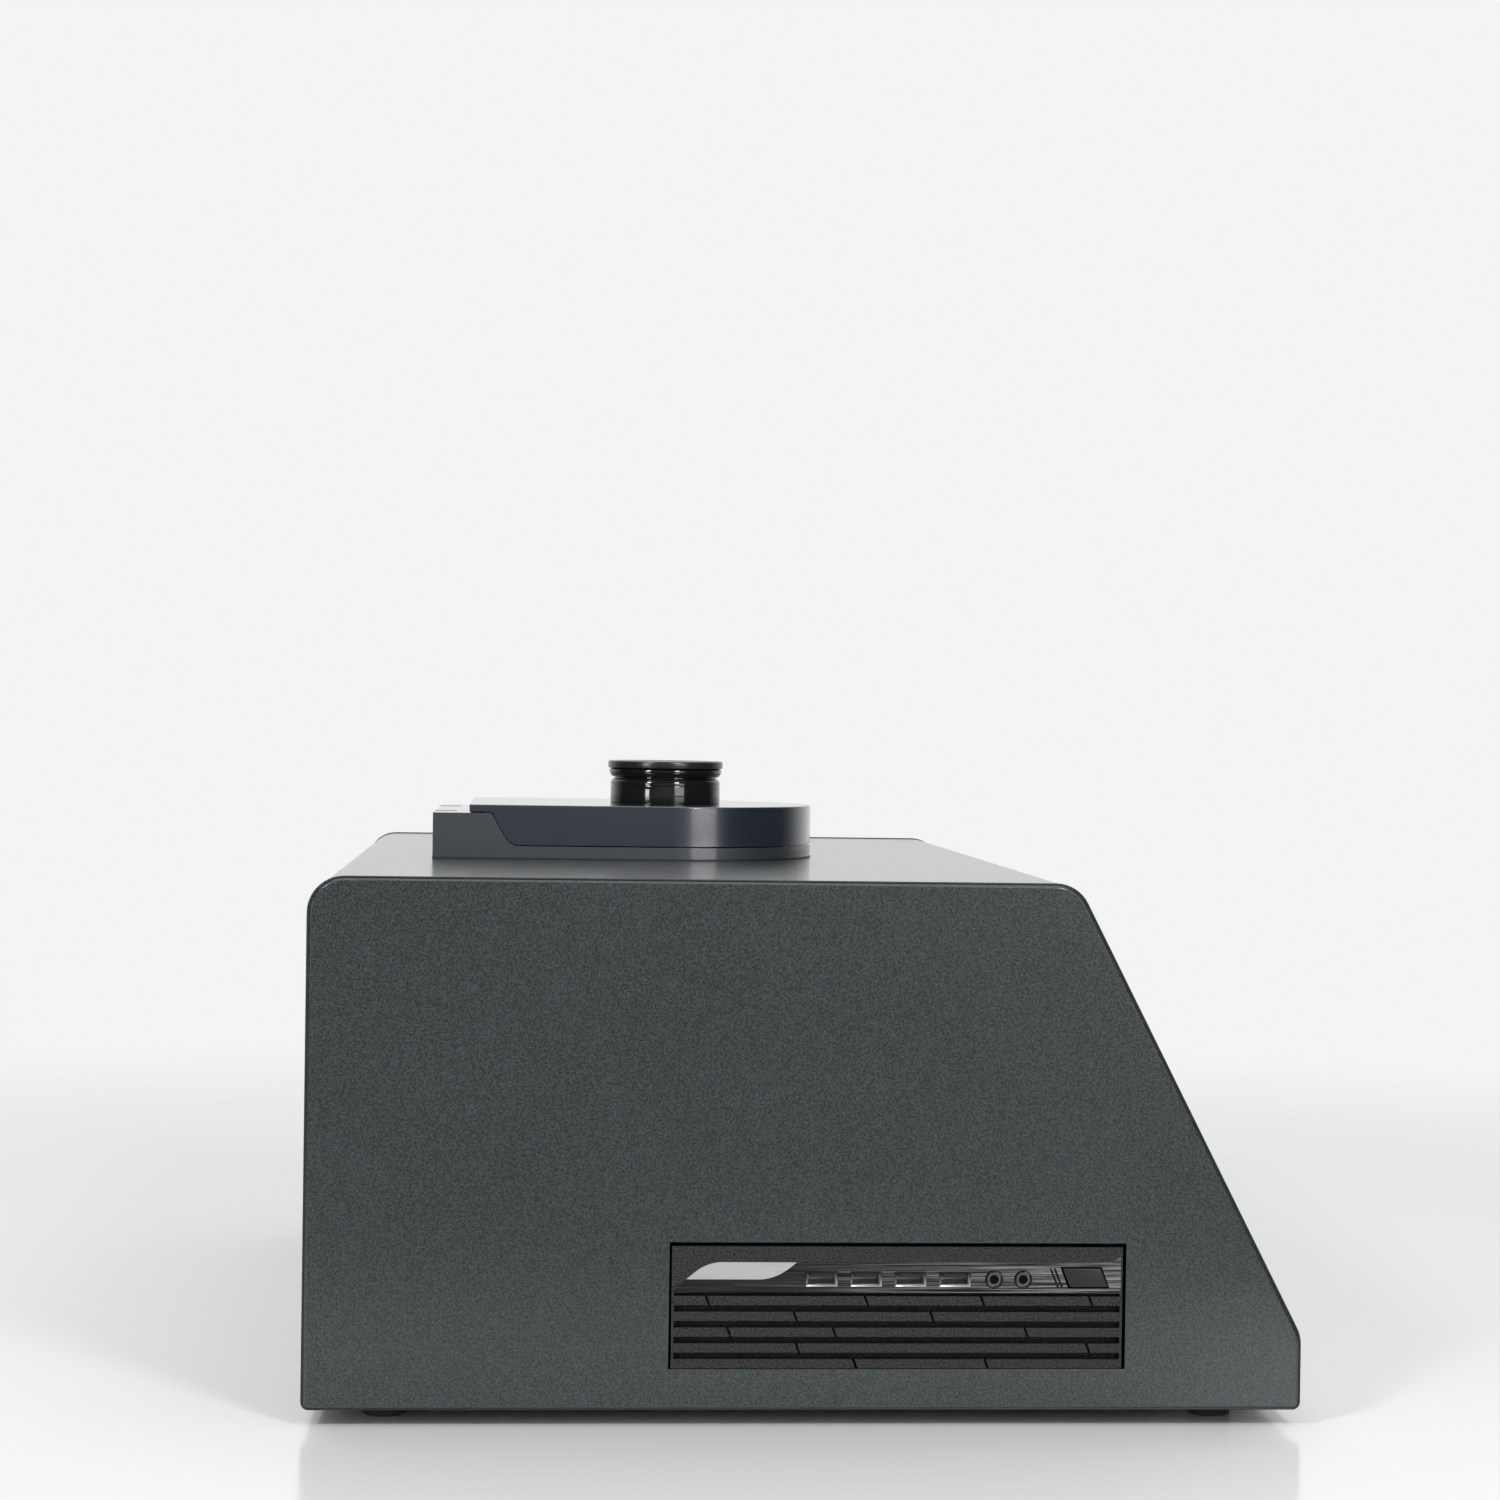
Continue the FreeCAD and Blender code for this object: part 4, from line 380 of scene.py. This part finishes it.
dress(joint, seam_shade, "case", "rubber")

# The knob is turned from black stock and polished. A skirt, a rounded shoulder and a
# flared ring stand one above the other, and a satin cap closes it.


def turned(name, centre, profile, tilt=0.0, sides=128):
    """A piece from the lathe: a disc drawn along its axis through rings, in millimetres."""
    bpy.ops.object.select_all(action="DESELECT")
    radius, height = profile[0]
    bpy.ops.mesh.primitive_circle_add(vertices=sides, radius=radius / 1000, fill_type="NGON",
                                      location=(0, 0, height / 1000))
    bpy.ops.object.mode_set(mode="EDIT")
    for next_radius, next_height in profile[1:]:
        bpy.ops.mesh.extrude_region_move(
            TRANSFORM_OT_translate={"value": (0, 0, (next_height - height) / 1000)})
        wider = next_radius / radius
        bpy.ops.transform.resize(value=(wider, wider, 1),
                                 center_override=(0, 0, next_height / 1000))
        radius, height = next_radius, next_height
    bpy.ops.mesh.select_all(action="SELECT")
    bpy.ops.mesh.normals_make_consistent(inside=False)
    bpy.ops.object.mode_set(mode="OBJECT")
    piece = bpy.context.object
    bpy.ops.object.transform_apply(location=True, rotation=True, scale=True)
    piece.name = name
    piece.location = centre
    piece.rotation_euler = (math.radians(tilt), 0, 0)
    bpy.ops.object.transform_apply(location=True, rotation=True, scale=True)
    return piece


gloss = Finish("gloss black")
haze = gloss.grain(60, 4.0)
gloss.set(Base_Color=(0.006, 0.006, 0.007, 1), Roughness=0.06 + haze * 0.06, Coat_Weight=0.3,
          Coat_Roughness=0.04)
knob_low, knob_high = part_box("lid_knob")
knob_seat = ((knob_low.x + knob_high.x) / 2, (knob_low.y + knob_high.y) / 2, knob_low.z)
knob = turned("knob_body", knob_seat, [
    (3.05, 15), (3.05, 0), (28.8, 0), (29.1, 0.2), (29.2, 0.5), (29.2, 9.0), (29.1, 9.3),
    (28.9, 9.4), (28.9, 9.7), (29.15, 9.9), (29.2, 10.4), (29.1, 11.1), (28.85, 11.8),
    (28.45, 12.4), (27.9, 12.9), (27.3, 13.2), (27.2, 13.4), (27.2, 13.7), (27.6, 13.8),
    (28.3, 14.0), (28.8, 14.4), (29.2, 14.9), (29.55, 15.5), (29.85, 16.2), (30.0, 16.9),
    (30.0, 17.4), (29.8, 17.8), (29.3, 18.1), (28.2, 18.4)])
dress(knob, gloss, "lid", "knob_black", "lid_knob", crease=30)

# The cap is a turned disc with a rounded rim, blackened and left satin, with fine rings from
# the lathe. It lies on the knob's top and overhangs it slightly.
satin = Finish("satin cap")
cap_seat = (knob_seat[0], knob_seat[1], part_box("knob_cap")[0].z)
spun = satin.node("ShaderNodeMapping", {}, {"Vector": satin.place,
                                            "Location": (-knob_seat[0], -knob_seat[1], 0)})
rings = satin.node("ShaderNodeTexWave", {"wave_type": "RINGS", "rings_direction": "Z"}, {
    "Vector": spun, "Scale": 420, "Distortion": 1.5, "Detail": 2.0})
turned_marks = satin.grain(2400, 2.0)
satin.set(
    Base_Color=satin.mix((0.01, 0.01, 0.011, 1), (0.032, 0.032, 0.033, 1),
                         rings * 0.5 + turned_marks * 0.5),
    Metallic=0.3,
    Roughness=0.2 + turned_marks * 0.1,
    Specular_IOR_Level=0.8)
satin.bump(rings, 0.00002, 0.5)
cap = turned("knob_top", cap_seat, [
    (27.6, 0.25), (27.8, 0.05), (29.6, 0.05), (30.1, 0.2), (30.4, 0.5), (30.5, 0.9), (30.5, 3.0),
    (30.4, 3.5), (30.1, 3.85), (29.6, 4.05), (29.0, 4.1), (27.6, 4.1), (27.3, 4.0), (27.0, 3.9),
    (12, 3.86), (0.5, 3.86)])
dress(cap, satin, "lid", "knob_satin", "knob_cap", crease=30)

# The drive and the optics are turned and milled from bare metal: platform, gears, hub, cup,
# plate, posts, bench and the housings on it. The recessed pan at the rear and the board's
# standoffs share their finish.
milled = Finish("milled metal")
cutter = milled.grain(500, 3.0)
milled.set(
    Base_Color=milled.mix((0.5, 0.5, 0.51, 1), (0.66, 0.66, 0.67, 1), cutter),
    Metallic=1.0,
    Roughness=0.26 + cutter * 0.18)
for name in ("turntable", "turntable_hub", "sample_cup", "optical_bench", "bench_posts",
             "optical_head", "spectrometer_box", "light_coupling", "drive_plate", "drive_posts",
             "lamp_holder", "rear_io_pan", "board_standoffs", "ring_gear", "drive_pinion"):
    wear(name, milled, 0.0002)

# The turntable runs in a plain bush of sintered bronze. It is pressed to size from powder,
# so its surface keeps a fine, open grain.
bronze = Finish("sintered bronze")
sinter = bronze.grain(1500, 3.0)
bronze.set(
    Base_Color=bronze.mix((0.42, 0.27, 0.1, 1), (0.6, 0.41, 0.19, 1), sinter),
    Metallic=1.0,
    Roughness=0.38 + sinter * 0.2)
wear("turntable_bush", bronze, 0.0002)

# The stepper motor that turns the pinion is bought in. Its square steel body is painted a
# flat black.
motor = Finish("motor black")
motor.set(Base_Color=motor.mix((0.02, 0.02, 0.02, 1), (0.05, 0.05, 0.05, 1), motor.grain(600)),
          Roughness=0.5)
wear("stepper_motor", motor, 0.0003)

# The window in the sample cup, the window of the measuring head and the halogen lamp's bulb
# are clear glass, very slightly uneven.
clear = Finish("optical glass")
clear.set(Base_Color=(0.9, 0.93, 0.93, 1), Transmission_Weight=1.0, IOR=1.5,
          Roughness=0.02 + clear.grain(40) * 0.03)
for name in ("cup_window", "objective_window", "halogen_lamp"):
    wear(name, clear, 0.0002)

# The control board and the small computer's board are laminate under green lacquer. Their
# tracks show through it as a lighter pattern.
board = Finish("circuit board")
tracks = board.node("ShaderNodeTexBrick", {}, {
    "Vector": board.place, "Scale": 160, "Color1": (0.012, 0.09, 0.035, 1),
    "Color2": (0.02, 0.13, 0.055, 1), "Mortar": (0.03, 0.2, 0.09, 1)})
board.set(Base_Color=tracks, Roughness=0.3 + board.grain(300) * 0.2)
for name in ("control_board", "pc_board"):
    wear(name, board, 0.0001)

# The small computer's bezel is moulded in dark plastic with a leathery grain. Its slats
# stand out, and what lies deeper behind them is painted nearly black, as painted shade.
bezel_plastic = Finish("bezel plastic")
leather = bezel_plastic.ease(bezel_plastic.grain(1100, 3.0), 0.34, 0.68)
bezel_low, bezel_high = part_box("pc_bezel")
shade_from, shade_to = bezel_low.y + 0.0004, bezel_low.y + 0.002
# Painted shade: the colour darkens to near black with depth behind the slats.
painted_recess_shade = bezel_plastic.ease(bezel_plastic.axis("Y"), shade_from, shade_to)
bezel_plastic.set(
    Base_Color=bezel_plastic.mix(
        bezel_plastic.mix((0.004, 0.004, 0.004, 1), (0.03, 0.03, 0.03, 1), leather),
        (0.001, 0.001, 0.001, 1), painted_recess_shade),
    Specular_IOR_Level=0.35,
    Roughness=0.4 + leather * 0.2)
bezel_plastic.bump(leather, 0.0003, 0.8)
wear("pc_bezel", bezel_plastic, 0.0003)

# A band of brushed metal runs along the bezel's upper part, round the sockets, the light
# bars and the button. Its long streaks are painted brighter towards the nose, a painted
# highlight.
trim_metal = Finish("brushed band")
stretched = trim_metal.node("ShaderNodeMapping", {}, {"Vector": trim_metal.place,
                                                       "Scale": (22, 1, 2300)})
brushed = trim_metal.grain(1.0, 3.0, 0.6, stretched)
band_low, band_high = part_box("pc_trim_band")
# Painted highlight: the streaks' colour grows brighter towards the nose.
painted_highlight = trim_metal.ease(trim_metal.axis("X"), band_low.x + 0.02, band_high.x - 0.01)
streaks = trim_metal.ease(brushed, 0.35, 0.75)
trim_metal.set(
    Base_Color=trim_metal.mix((0.011, 0.011, 0.012, 1), (0.42, 0.42, 0.42, 1),
                              streaks * (0.1 + painted_highlight * 0.9)),
    Metallic=0.8,
    Roughness=0.32 + brushed * 0.15)
trim_metal.bump(brushed, 0.00005, 0.6)
wear("pc_trim_band", trim_metal, 0.0001)

# A bare badge, leaf-shaped and cut from bright sheet, lies half on the band and half on
# the bezel above it.
badge_metal = Finish("bare badge")
badge_lines = badge_metal.node("ShaderNodeMapping", {}, {"Vector": badge_metal.place,
                                                           "Scale": (40, 1, 2600)})
rubbed = badge_metal.grain(1.0, 3.0, 0.5, badge_lines)
badge_metal.set(
    Base_Color=badge_metal.mix((0.35, 0.355, 0.36, 1), (0.49, 0.495, 0.5, 1), rubbed),
    Metallic=0.3,
    Roughness=0.33 + rubbed * 0.12)
badge_low, badge_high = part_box("pc_badge")
bpy.ops.object.select_all(action="DESELECT")
leaf = bpy.data.curves.new("badge", "CURVE")
leaf.dimensions = "2D"
leaf.fill_mode = "BOTH"
leaf.extrude = (badge_high.y - badge_low.y) / 2
leaf.resolution_u = 16
edge_line = leaf.splines.new("BEZIER")
edge_line.use_cyclic_u = True
leaf_long, leaf_tall = 0.0495, 0.0079
leaf_corners = (
    ((0, 0), (0, 0), (0.0045, 0.004)),
    ((0.0152, leaf_tall), (0.0082, 0.0074), (0.02, leaf_tall)),
    ((leaf_long, leaf_tall), (0.035, leaf_tall), (0.0452, 0.004)),
    ((0.0335, 0), (0.0405, 0.0005), (0.02, 0)),
)
edge_line.bezier_points.add(len(leaf_corners) - 1)
for point, (place, before, after) in zip(edge_line.bezier_points, leaf_corners):
    point.handle_left_type = point.handle_right_type = "FREE"
    point.co = (*place, 0)
    point.handle_left = (*before, 0)
    point.handle_right = (*after, 0)
badge = bpy.data.objects.new("bare_badge", leaf)
bpy.context.scene.collection.objects.link(badge)
badge.select_set(True)
bpy.context.view_layer.objects.active = badge
bpy.ops.object.convert(target="MESH")
badge = bpy.context.object
badge.location = (badge_low.x, (badge_low.y + badge_high.y) / 2, badge_low.z)
badge.rotation_euler = (math.radians(90), 0, 0)
badge.scale = ((badge_high.x - badge_low.x) / leaf_long,
               (badge_high.z - badge_low.z) / leaf_tall, 1)
bpy.ops.object.transform_apply(location=True, rotation=True, scale=True)
bpy.ops.object.mode_set(mode="EDIT")
bpy.ops.mesh.select_all(action="SELECT")
bpy.ops.mesh.remove_doubles(threshold=same_point)
bpy.ops.mesh.normals_make_consistent(inside=False)
bpy.ops.object.mode_set(mode="OBJECT")
dress(badge, badge_metal, "case", "badge_metal", "pc_badge", crease=30)

# Beside the power button two slim light bars lean with it. Bars and button are moulded,
# the bars smoked and glossy, the button satin with a rounded rim and a dark gap.
lens = Finish("smoked lens")
lens.set(Base_Color=(0.004, 0.004, 0.005, 1), Roughness=0.25 + lens.grain(200) * 0.1,
         Specular_IOR_Level=0.25)
key = Finish("button face")
key_grain = key.grain(1500, 3.0)
key.set(Base_Color=key.mix((0.008, 0.0085, 0.01, 1), (0.019, 0.02, 0.023, 1), key_grain),
        Roughness=0.36 + key_grain * 0.1, Specular_IOR_Level=0.35)
key.bump(key_grain, 0.0001, 0.5)


bar_lean, bar_height = 0.00375, 0.0092


def leaning(name, node, left, right, inset, proud, rim):
    """A moulded key as tall as a node, whose top leans to the left as the node's does."""
    low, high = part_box(node)
    front = low.y - proud
    middle = (low.z + high.z) / 2
    tall = high.z - low.z - 2 * inset
    lean = bar_lean * tall / bar_height
    bpy.ops.object.select_all(action="DESELECT")
    bpy.ops.mesh.primitive_cube_add(size=1, location=(
        (left + right) / 2, (front + high.y) / 2, middle))
    piece = bpy.context.object
    piece.name = name
    piece.scale = (right - left, high.y - front, tall)
    bpy.ops.object.transform_apply(location=True, rotation=True, scale=True)
    bpy.ops.object.mode_set(mode="EDIT")
    bpy.ops.mesh.select_mode(type="VERT")
    bpy.ops.mesh.select_all(action="DESELECT")
    bpy.ops.object.mode_set(mode="OBJECT")
    for corner in piece.data.vertices:
        corner.select = corner.co.z > middle
    bpy.ops.object.mode_set(mode="EDIT")
    bpy.ops.transform.translate(value=(-lean, 0, 0))
    bpy.ops.object.mode_set(mode="OBJECT")
    rounded = piece.modifiers.new("rim", "BEVEL")
    rounded.width = rim
    rounded.segments = 3
    bpy.ops.object.modifier_apply(modifier="rim")
    return piece


led_low, led_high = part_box("pc_led_bar")
seat_start = 0.0037
led_seat = leaning("light_seat", "pc_led_bar", led_low.x + seat_start, led_high.x,
                   inset=0, proud=0, rim=0.0001)
dress(led_seat, trim_metal, "case", "trim_metal", "pc_led_bar")
bar_width = 0.0011
for bar, start in enumerate((0.0058, 0.0076), 1):
    light = leaning(f"light_bar_{bar}", "pc_led_bar", led_low.x + start,
                    led_low.x + start + bar_width, inset=0.0003, proud=0.0002, rim=0.0001)
    dress(light, lens, "case", "led_lens")
button_low, button_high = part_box("pc_power_button")
key_start, key_gap = 0.0042, 0.0004
button = leaning("power_key", "pc_power_button", button_low.x + key_start,
                 button_high.x - key_gap, inset=key_gap, proud=0.0001, rim=0.0005)
dress(button, key, "power_button", "bezel_plastic", "pc_power_button")

# Each USB socket's shell ends in a flared lip, pressed from thin plated sheet. It
# covers the gap between the shell and the band. Its colour is painted dark at the top and
# bright at the foot: painted shade and a painted highlight. Sockets and jacks are placed by
# shares of the bezel's width.
bright_steel = Finish("bright lip")
rolled = bright_steel.grain(2200, 3.0)
bezel_width = bezel_high.x - bezel_low.x
port_rise = 0.0402
port_z = bezel_low.z + port_rise
port_face = band_low.y
lip_top, lip_foot = port_z + 0.0024, port_z - 0.0026
# Painted light: the lip's colour is dark at its top and bright at its foot, as if lit from above.
painted_lip_light = bright_steel.ease(bright_steel.axis("Z"), lip_top, lip_foot)
bright_steel.set(
    Base_Color=bright_steel.mix(
        (0.025, 0.025, 0.025, 1),
        bright_steel.mix((0.26, 0.26, 0.26, 1), (0.44, 0.44, 0.43, 1), rolled), painted_lip_light),
    Metallic=0.9,
    Roughness=0.22 + rolled * 0.2)


sheet_share, edge_share = 0.4, 0.12


def pressed(name, middle, wide, tall, rim, deep):
    """A frame folded from sheet: a plate inset, opened and drawn back from its face."""
    bpy.ops.object.select_all(action="DESELECT")
    bpy.ops.mesh.primitive_plane_add(size=1, location=middle, rotation=(math.radians(90), 0, 0))
    piece = bpy.context.object
    piece.name = name
    piece.scale = (wide, tall, 1)
    bpy.ops.object.transform_apply(location=True, rotation=True, scale=True)
    bpy.ops.object.mode_set(mode="EDIT")
    bpy.ops.mesh.inset(thickness=rim, use_boundary=True)
    bpy.ops.transform.translate(value=(0, deep, 0))
    bpy.ops.mesh.extrude_region_move(TRANSFORM_OT_translate={"value": (0, 2 * deep, 0)})
    bpy.ops.mesh.delete(type="FACE")
    bpy.ops.object.mode_set(mode="OBJECT")
    wall = piece.modifiers.new("wall", "SOLIDIFY")
    wall.thickness = rim * sheet_share
    wall.offset = -1
    bpy.ops.object.modifier_apply(modifier="wall")
    rounded = piece.modifiers.new("edge", "BEVEL")
    rounded.width = rim * edge_share
    rounded.segments = 2
    bpy.ops.object.modifier_apply(modifier="edge")
    return piece


first_port, port_step = 0.3304, 0.0985
lip_wide, lip_tall = 0.0141, 0.0067
lip_face = port_face - 0.0004
for port in range(4):
    port_x = bezel_low.x + bezel_width * (first_port + port_step * port)
    lip = pressed(f"usb_lip_{port + 1}", (port_x, lip_face, port_z), lip_wide, lip_tall,
                  rim=0.0008, deep=0.0006)
    dress(lip, bright_steel, "case", "screw_steel")

# The two audio jacks have gloss black moulded barrels with a rounded collar, and a thin
# grey ring turned from metal lies in each collar round the bore.
jack_rim = Finish("jack rim")
rim_marks = jack_rim.grain(2000, 2.0)
jack_rim.set(Base_Color=jack_rim.mix((0.1, 0.1, 0.1, 1), (0.26, 0.26, 0.26, 1), rim_marks),
             Metallic=0.7, Roughness=0.3 + rim_marks * 0.1)
first_jack, jack_step = 0.7132, 0.0647
barrels = []
for jack in range(2):
    jack_at = (bezel_low.x + bezel_width * (first_jack + jack_step * jack), port_face, port_z)
    barrels.append(turned(f"jack_barrel_{jack + 1}", jack_at, [
        (1.85, -8), (1.85, 0.05), (2.2, 0.05), (2.2, -0.1), (2.95, -0.1), (2.95, 0.4), (3.1, 0.6),
        (3.35, 0.68), (3.6, 0.6), (3.8, 0.35), (3.8, -11.5)], tilt=90, sides=64))
    ring = turned(f"jack_ring_{jack + 1}", jack_at, [
        (2.25, -0.05), (2.9, -0.05), (2.9, 0.35), (2.8, 0.45), (2.4, 0.45), (2.25, 0.3)],
        tilt=90, sides=64)
    bpy.ops.object.mode_set(mode="EDIT")
    bpy.ops.mesh.select_all(action="DESELECT")
    bpy.ops.object.mode_set(mode="OBJECT")
    for face in ring.data.polygons:
        face.select = len(face.vertices) > 4
    bpy.ops.object.mode_set(mode="EDIT")
    bpy.ops.mesh.select_mode(type="FACE")
    bpy.ops.mesh.delete(type="ONLY_FACE")
    bpy.ops.mesh.select_mode(type="EDGE")
    bpy.ops.mesh.select_non_manifold()
    bpy.ops.mesh.bridge_edge_loops()
    bpy.ops.mesh.select_all(action="SELECT")
    bpy.ops.mesh.normals_make_consistent(inside=False)
    bpy.ops.object.mode_set(mode="OBJECT")
    dress(ring, jack_rim, "case", "screw_steel")
bpy.ops.object.select_all(action="DESELECT")
for barrel in barrels:
    barrel.select_set(True)
bpy.context.view_layer.objects.active = barrels[0]
bpy.ops.object.join()
barrels[0].name = "jack_barrels"
dress(barrels[0], gloss, "case", "knob_black", "audio_jacks", crease=30)

# The studio: a white gloss table, a pale wall far behind, and soft light from both sides and
# from above. The room on the camera's side is dim, so dark metal and glass stay dark there.
floor = Finish("gloss table")
table_radius = 1.6
floor.set(Base_Color=(0.665, 0.677, 0.68, 1), Roughness=0.14 + floor.grain(2) * 0.05,
          Specular_IOR_Level=0.42)
reach = floor.node("ShaderNodeVectorMath", {"operation": "LENGTH"}, {0: floor.place}, "Value")
near_end = floor.ease(floor.axis("Y"), -0.48, -0.68)
clear_air = floor.node("ShaderNodeBsdfTransparent", {}, {})
far_out = floor.ease(reach, 0.62, 1.5)
polished = Wire(floor, floor.shader.outputs[0])
faded = floor.node("ShaderNodeMixShader", {}, {
    0: far_out.math("MAXIMUM", near_end), 1: polished, 2: clear_air})
floor.tree.links.new(faded.socket, floor.tree.nodes["Material Output"].inputs["Surface"])
bpy.ops.object.select_all(action="DESELECT")
bpy.ops.mesh.primitive_circle_add(vertices=96, radius=table_radius, fill_type="NGON",
                                  location=(0, 0, 0))
table = bpy.context.object
table.name = "table"
table.data.materials.append(floor.material)

studio = Finish("studio", bpy.data.worlds, "Background", "Generated")
bpy.context.scene.world = studio.material
seen = studio.node("ShaderNodeLightPath", {}, {}, "Is Camera Ray").math(
    "MAXIMUM", studio.node("ShaderNodeLightPath", {}, {}, "Is Transmission Ray"))
mirrored = studio.node("ShaderNodeLightPath", {}, {}, "Is Glossy Ray") * (1 - seen)
ahead = studio.axis("Y")
wall = studio.ease(ahead, 0.2, 0.85) * 0.9 + studio.ease(ahead, -0.8, -0.97) * 0.3 + 0.05
backdrop, ambient = 0.95, 0.5
studio.set(Color=(0.95, 0.95, 0.935, 1),
           Strength=seen * backdrop + mirrored * wall + (1 - seen) * (1 - mirrored) * ambient)


case_middle = Vector((0, 0, 0.2))


def soft_light(name, azimuth, distance, height, wide, tall, power):
    """A soft box that faces the case, so many degrees to the right of -Y."""
    light = bpy.data.lights.new(name, "AREA")
    light.shape = "RECTANGLE"
    light.size = wide
    light.size_y = tall
    light.energy = power
    lamp = bpy.data.objects.new(name, light)
    bpy.context.scene.collection.objects.link(lamp)
    turn = math.radians(azimuth)
    lamp.location = (distance * math.sin(turn), -distance * math.cos(turn), height)
    aim = case_middle - lamp.location
    lamp.rotation_euler = aim.to_track_quat("-Z", "Y").to_euler()


soft_light("right_box", 22.5, 1.6, 1.3, 0.28, 0.46, 14)
soft_light("right_strip", 26, 1.7, 0.5, 0.6, 0.6, 4.6)
soft_light("left_box", -41, 2.2, 1.7, 0.32, 0.44, 28)
soft_light("left_strip", -41, 2.2, 0.4, 0.3, 0.6, 7)
soft_light("top_box", 180, 0.4, 3.0, 3.0, 3.0, 40)

# The camera stands a little above the stage's lid, left of the case's middle. It is turned
# towards the middle and rolled by less than a degree.
camera_at = Vector((-0.1274, -1.6956, 0.3160))
camera_yaw = math.radians(3.95)
camera_pitch = math.radians(0.49)
camera_roll = math.radians(-0.82)
forward = Vector((math.sin(camera_yaw) * math.cos(camera_pitch),
                  math.cos(camera_yaw) * math.cos(camera_pitch), -math.sin(camera_pitch)))
level_right = Vector((math.cos(camera_yaw), -math.sin(camera_yaw), 0))
level_down = forward.cross(level_right)
right = math.cos(camera_roll) * level_right + math.sin(camera_roll) * level_down
down = math.cos(camera_roll) * level_down - math.sin(camera_roll) * level_right
camera_data = bpy.data.cameras.new("camera")
camera_data.lens = 76.34
camera = bpy.data.objects.new("camera", camera_data)
bpy.context.scene.collection.objects.link(camera)
camera.matrix_world = Matrix.Translation(camera_at) @ Matrix(
    (right, -down, -forward)).transposed().to_4x4()
bpy.context.scene.camera = camera

bpy.context.scene.view_settings.view_transform = "Standard"
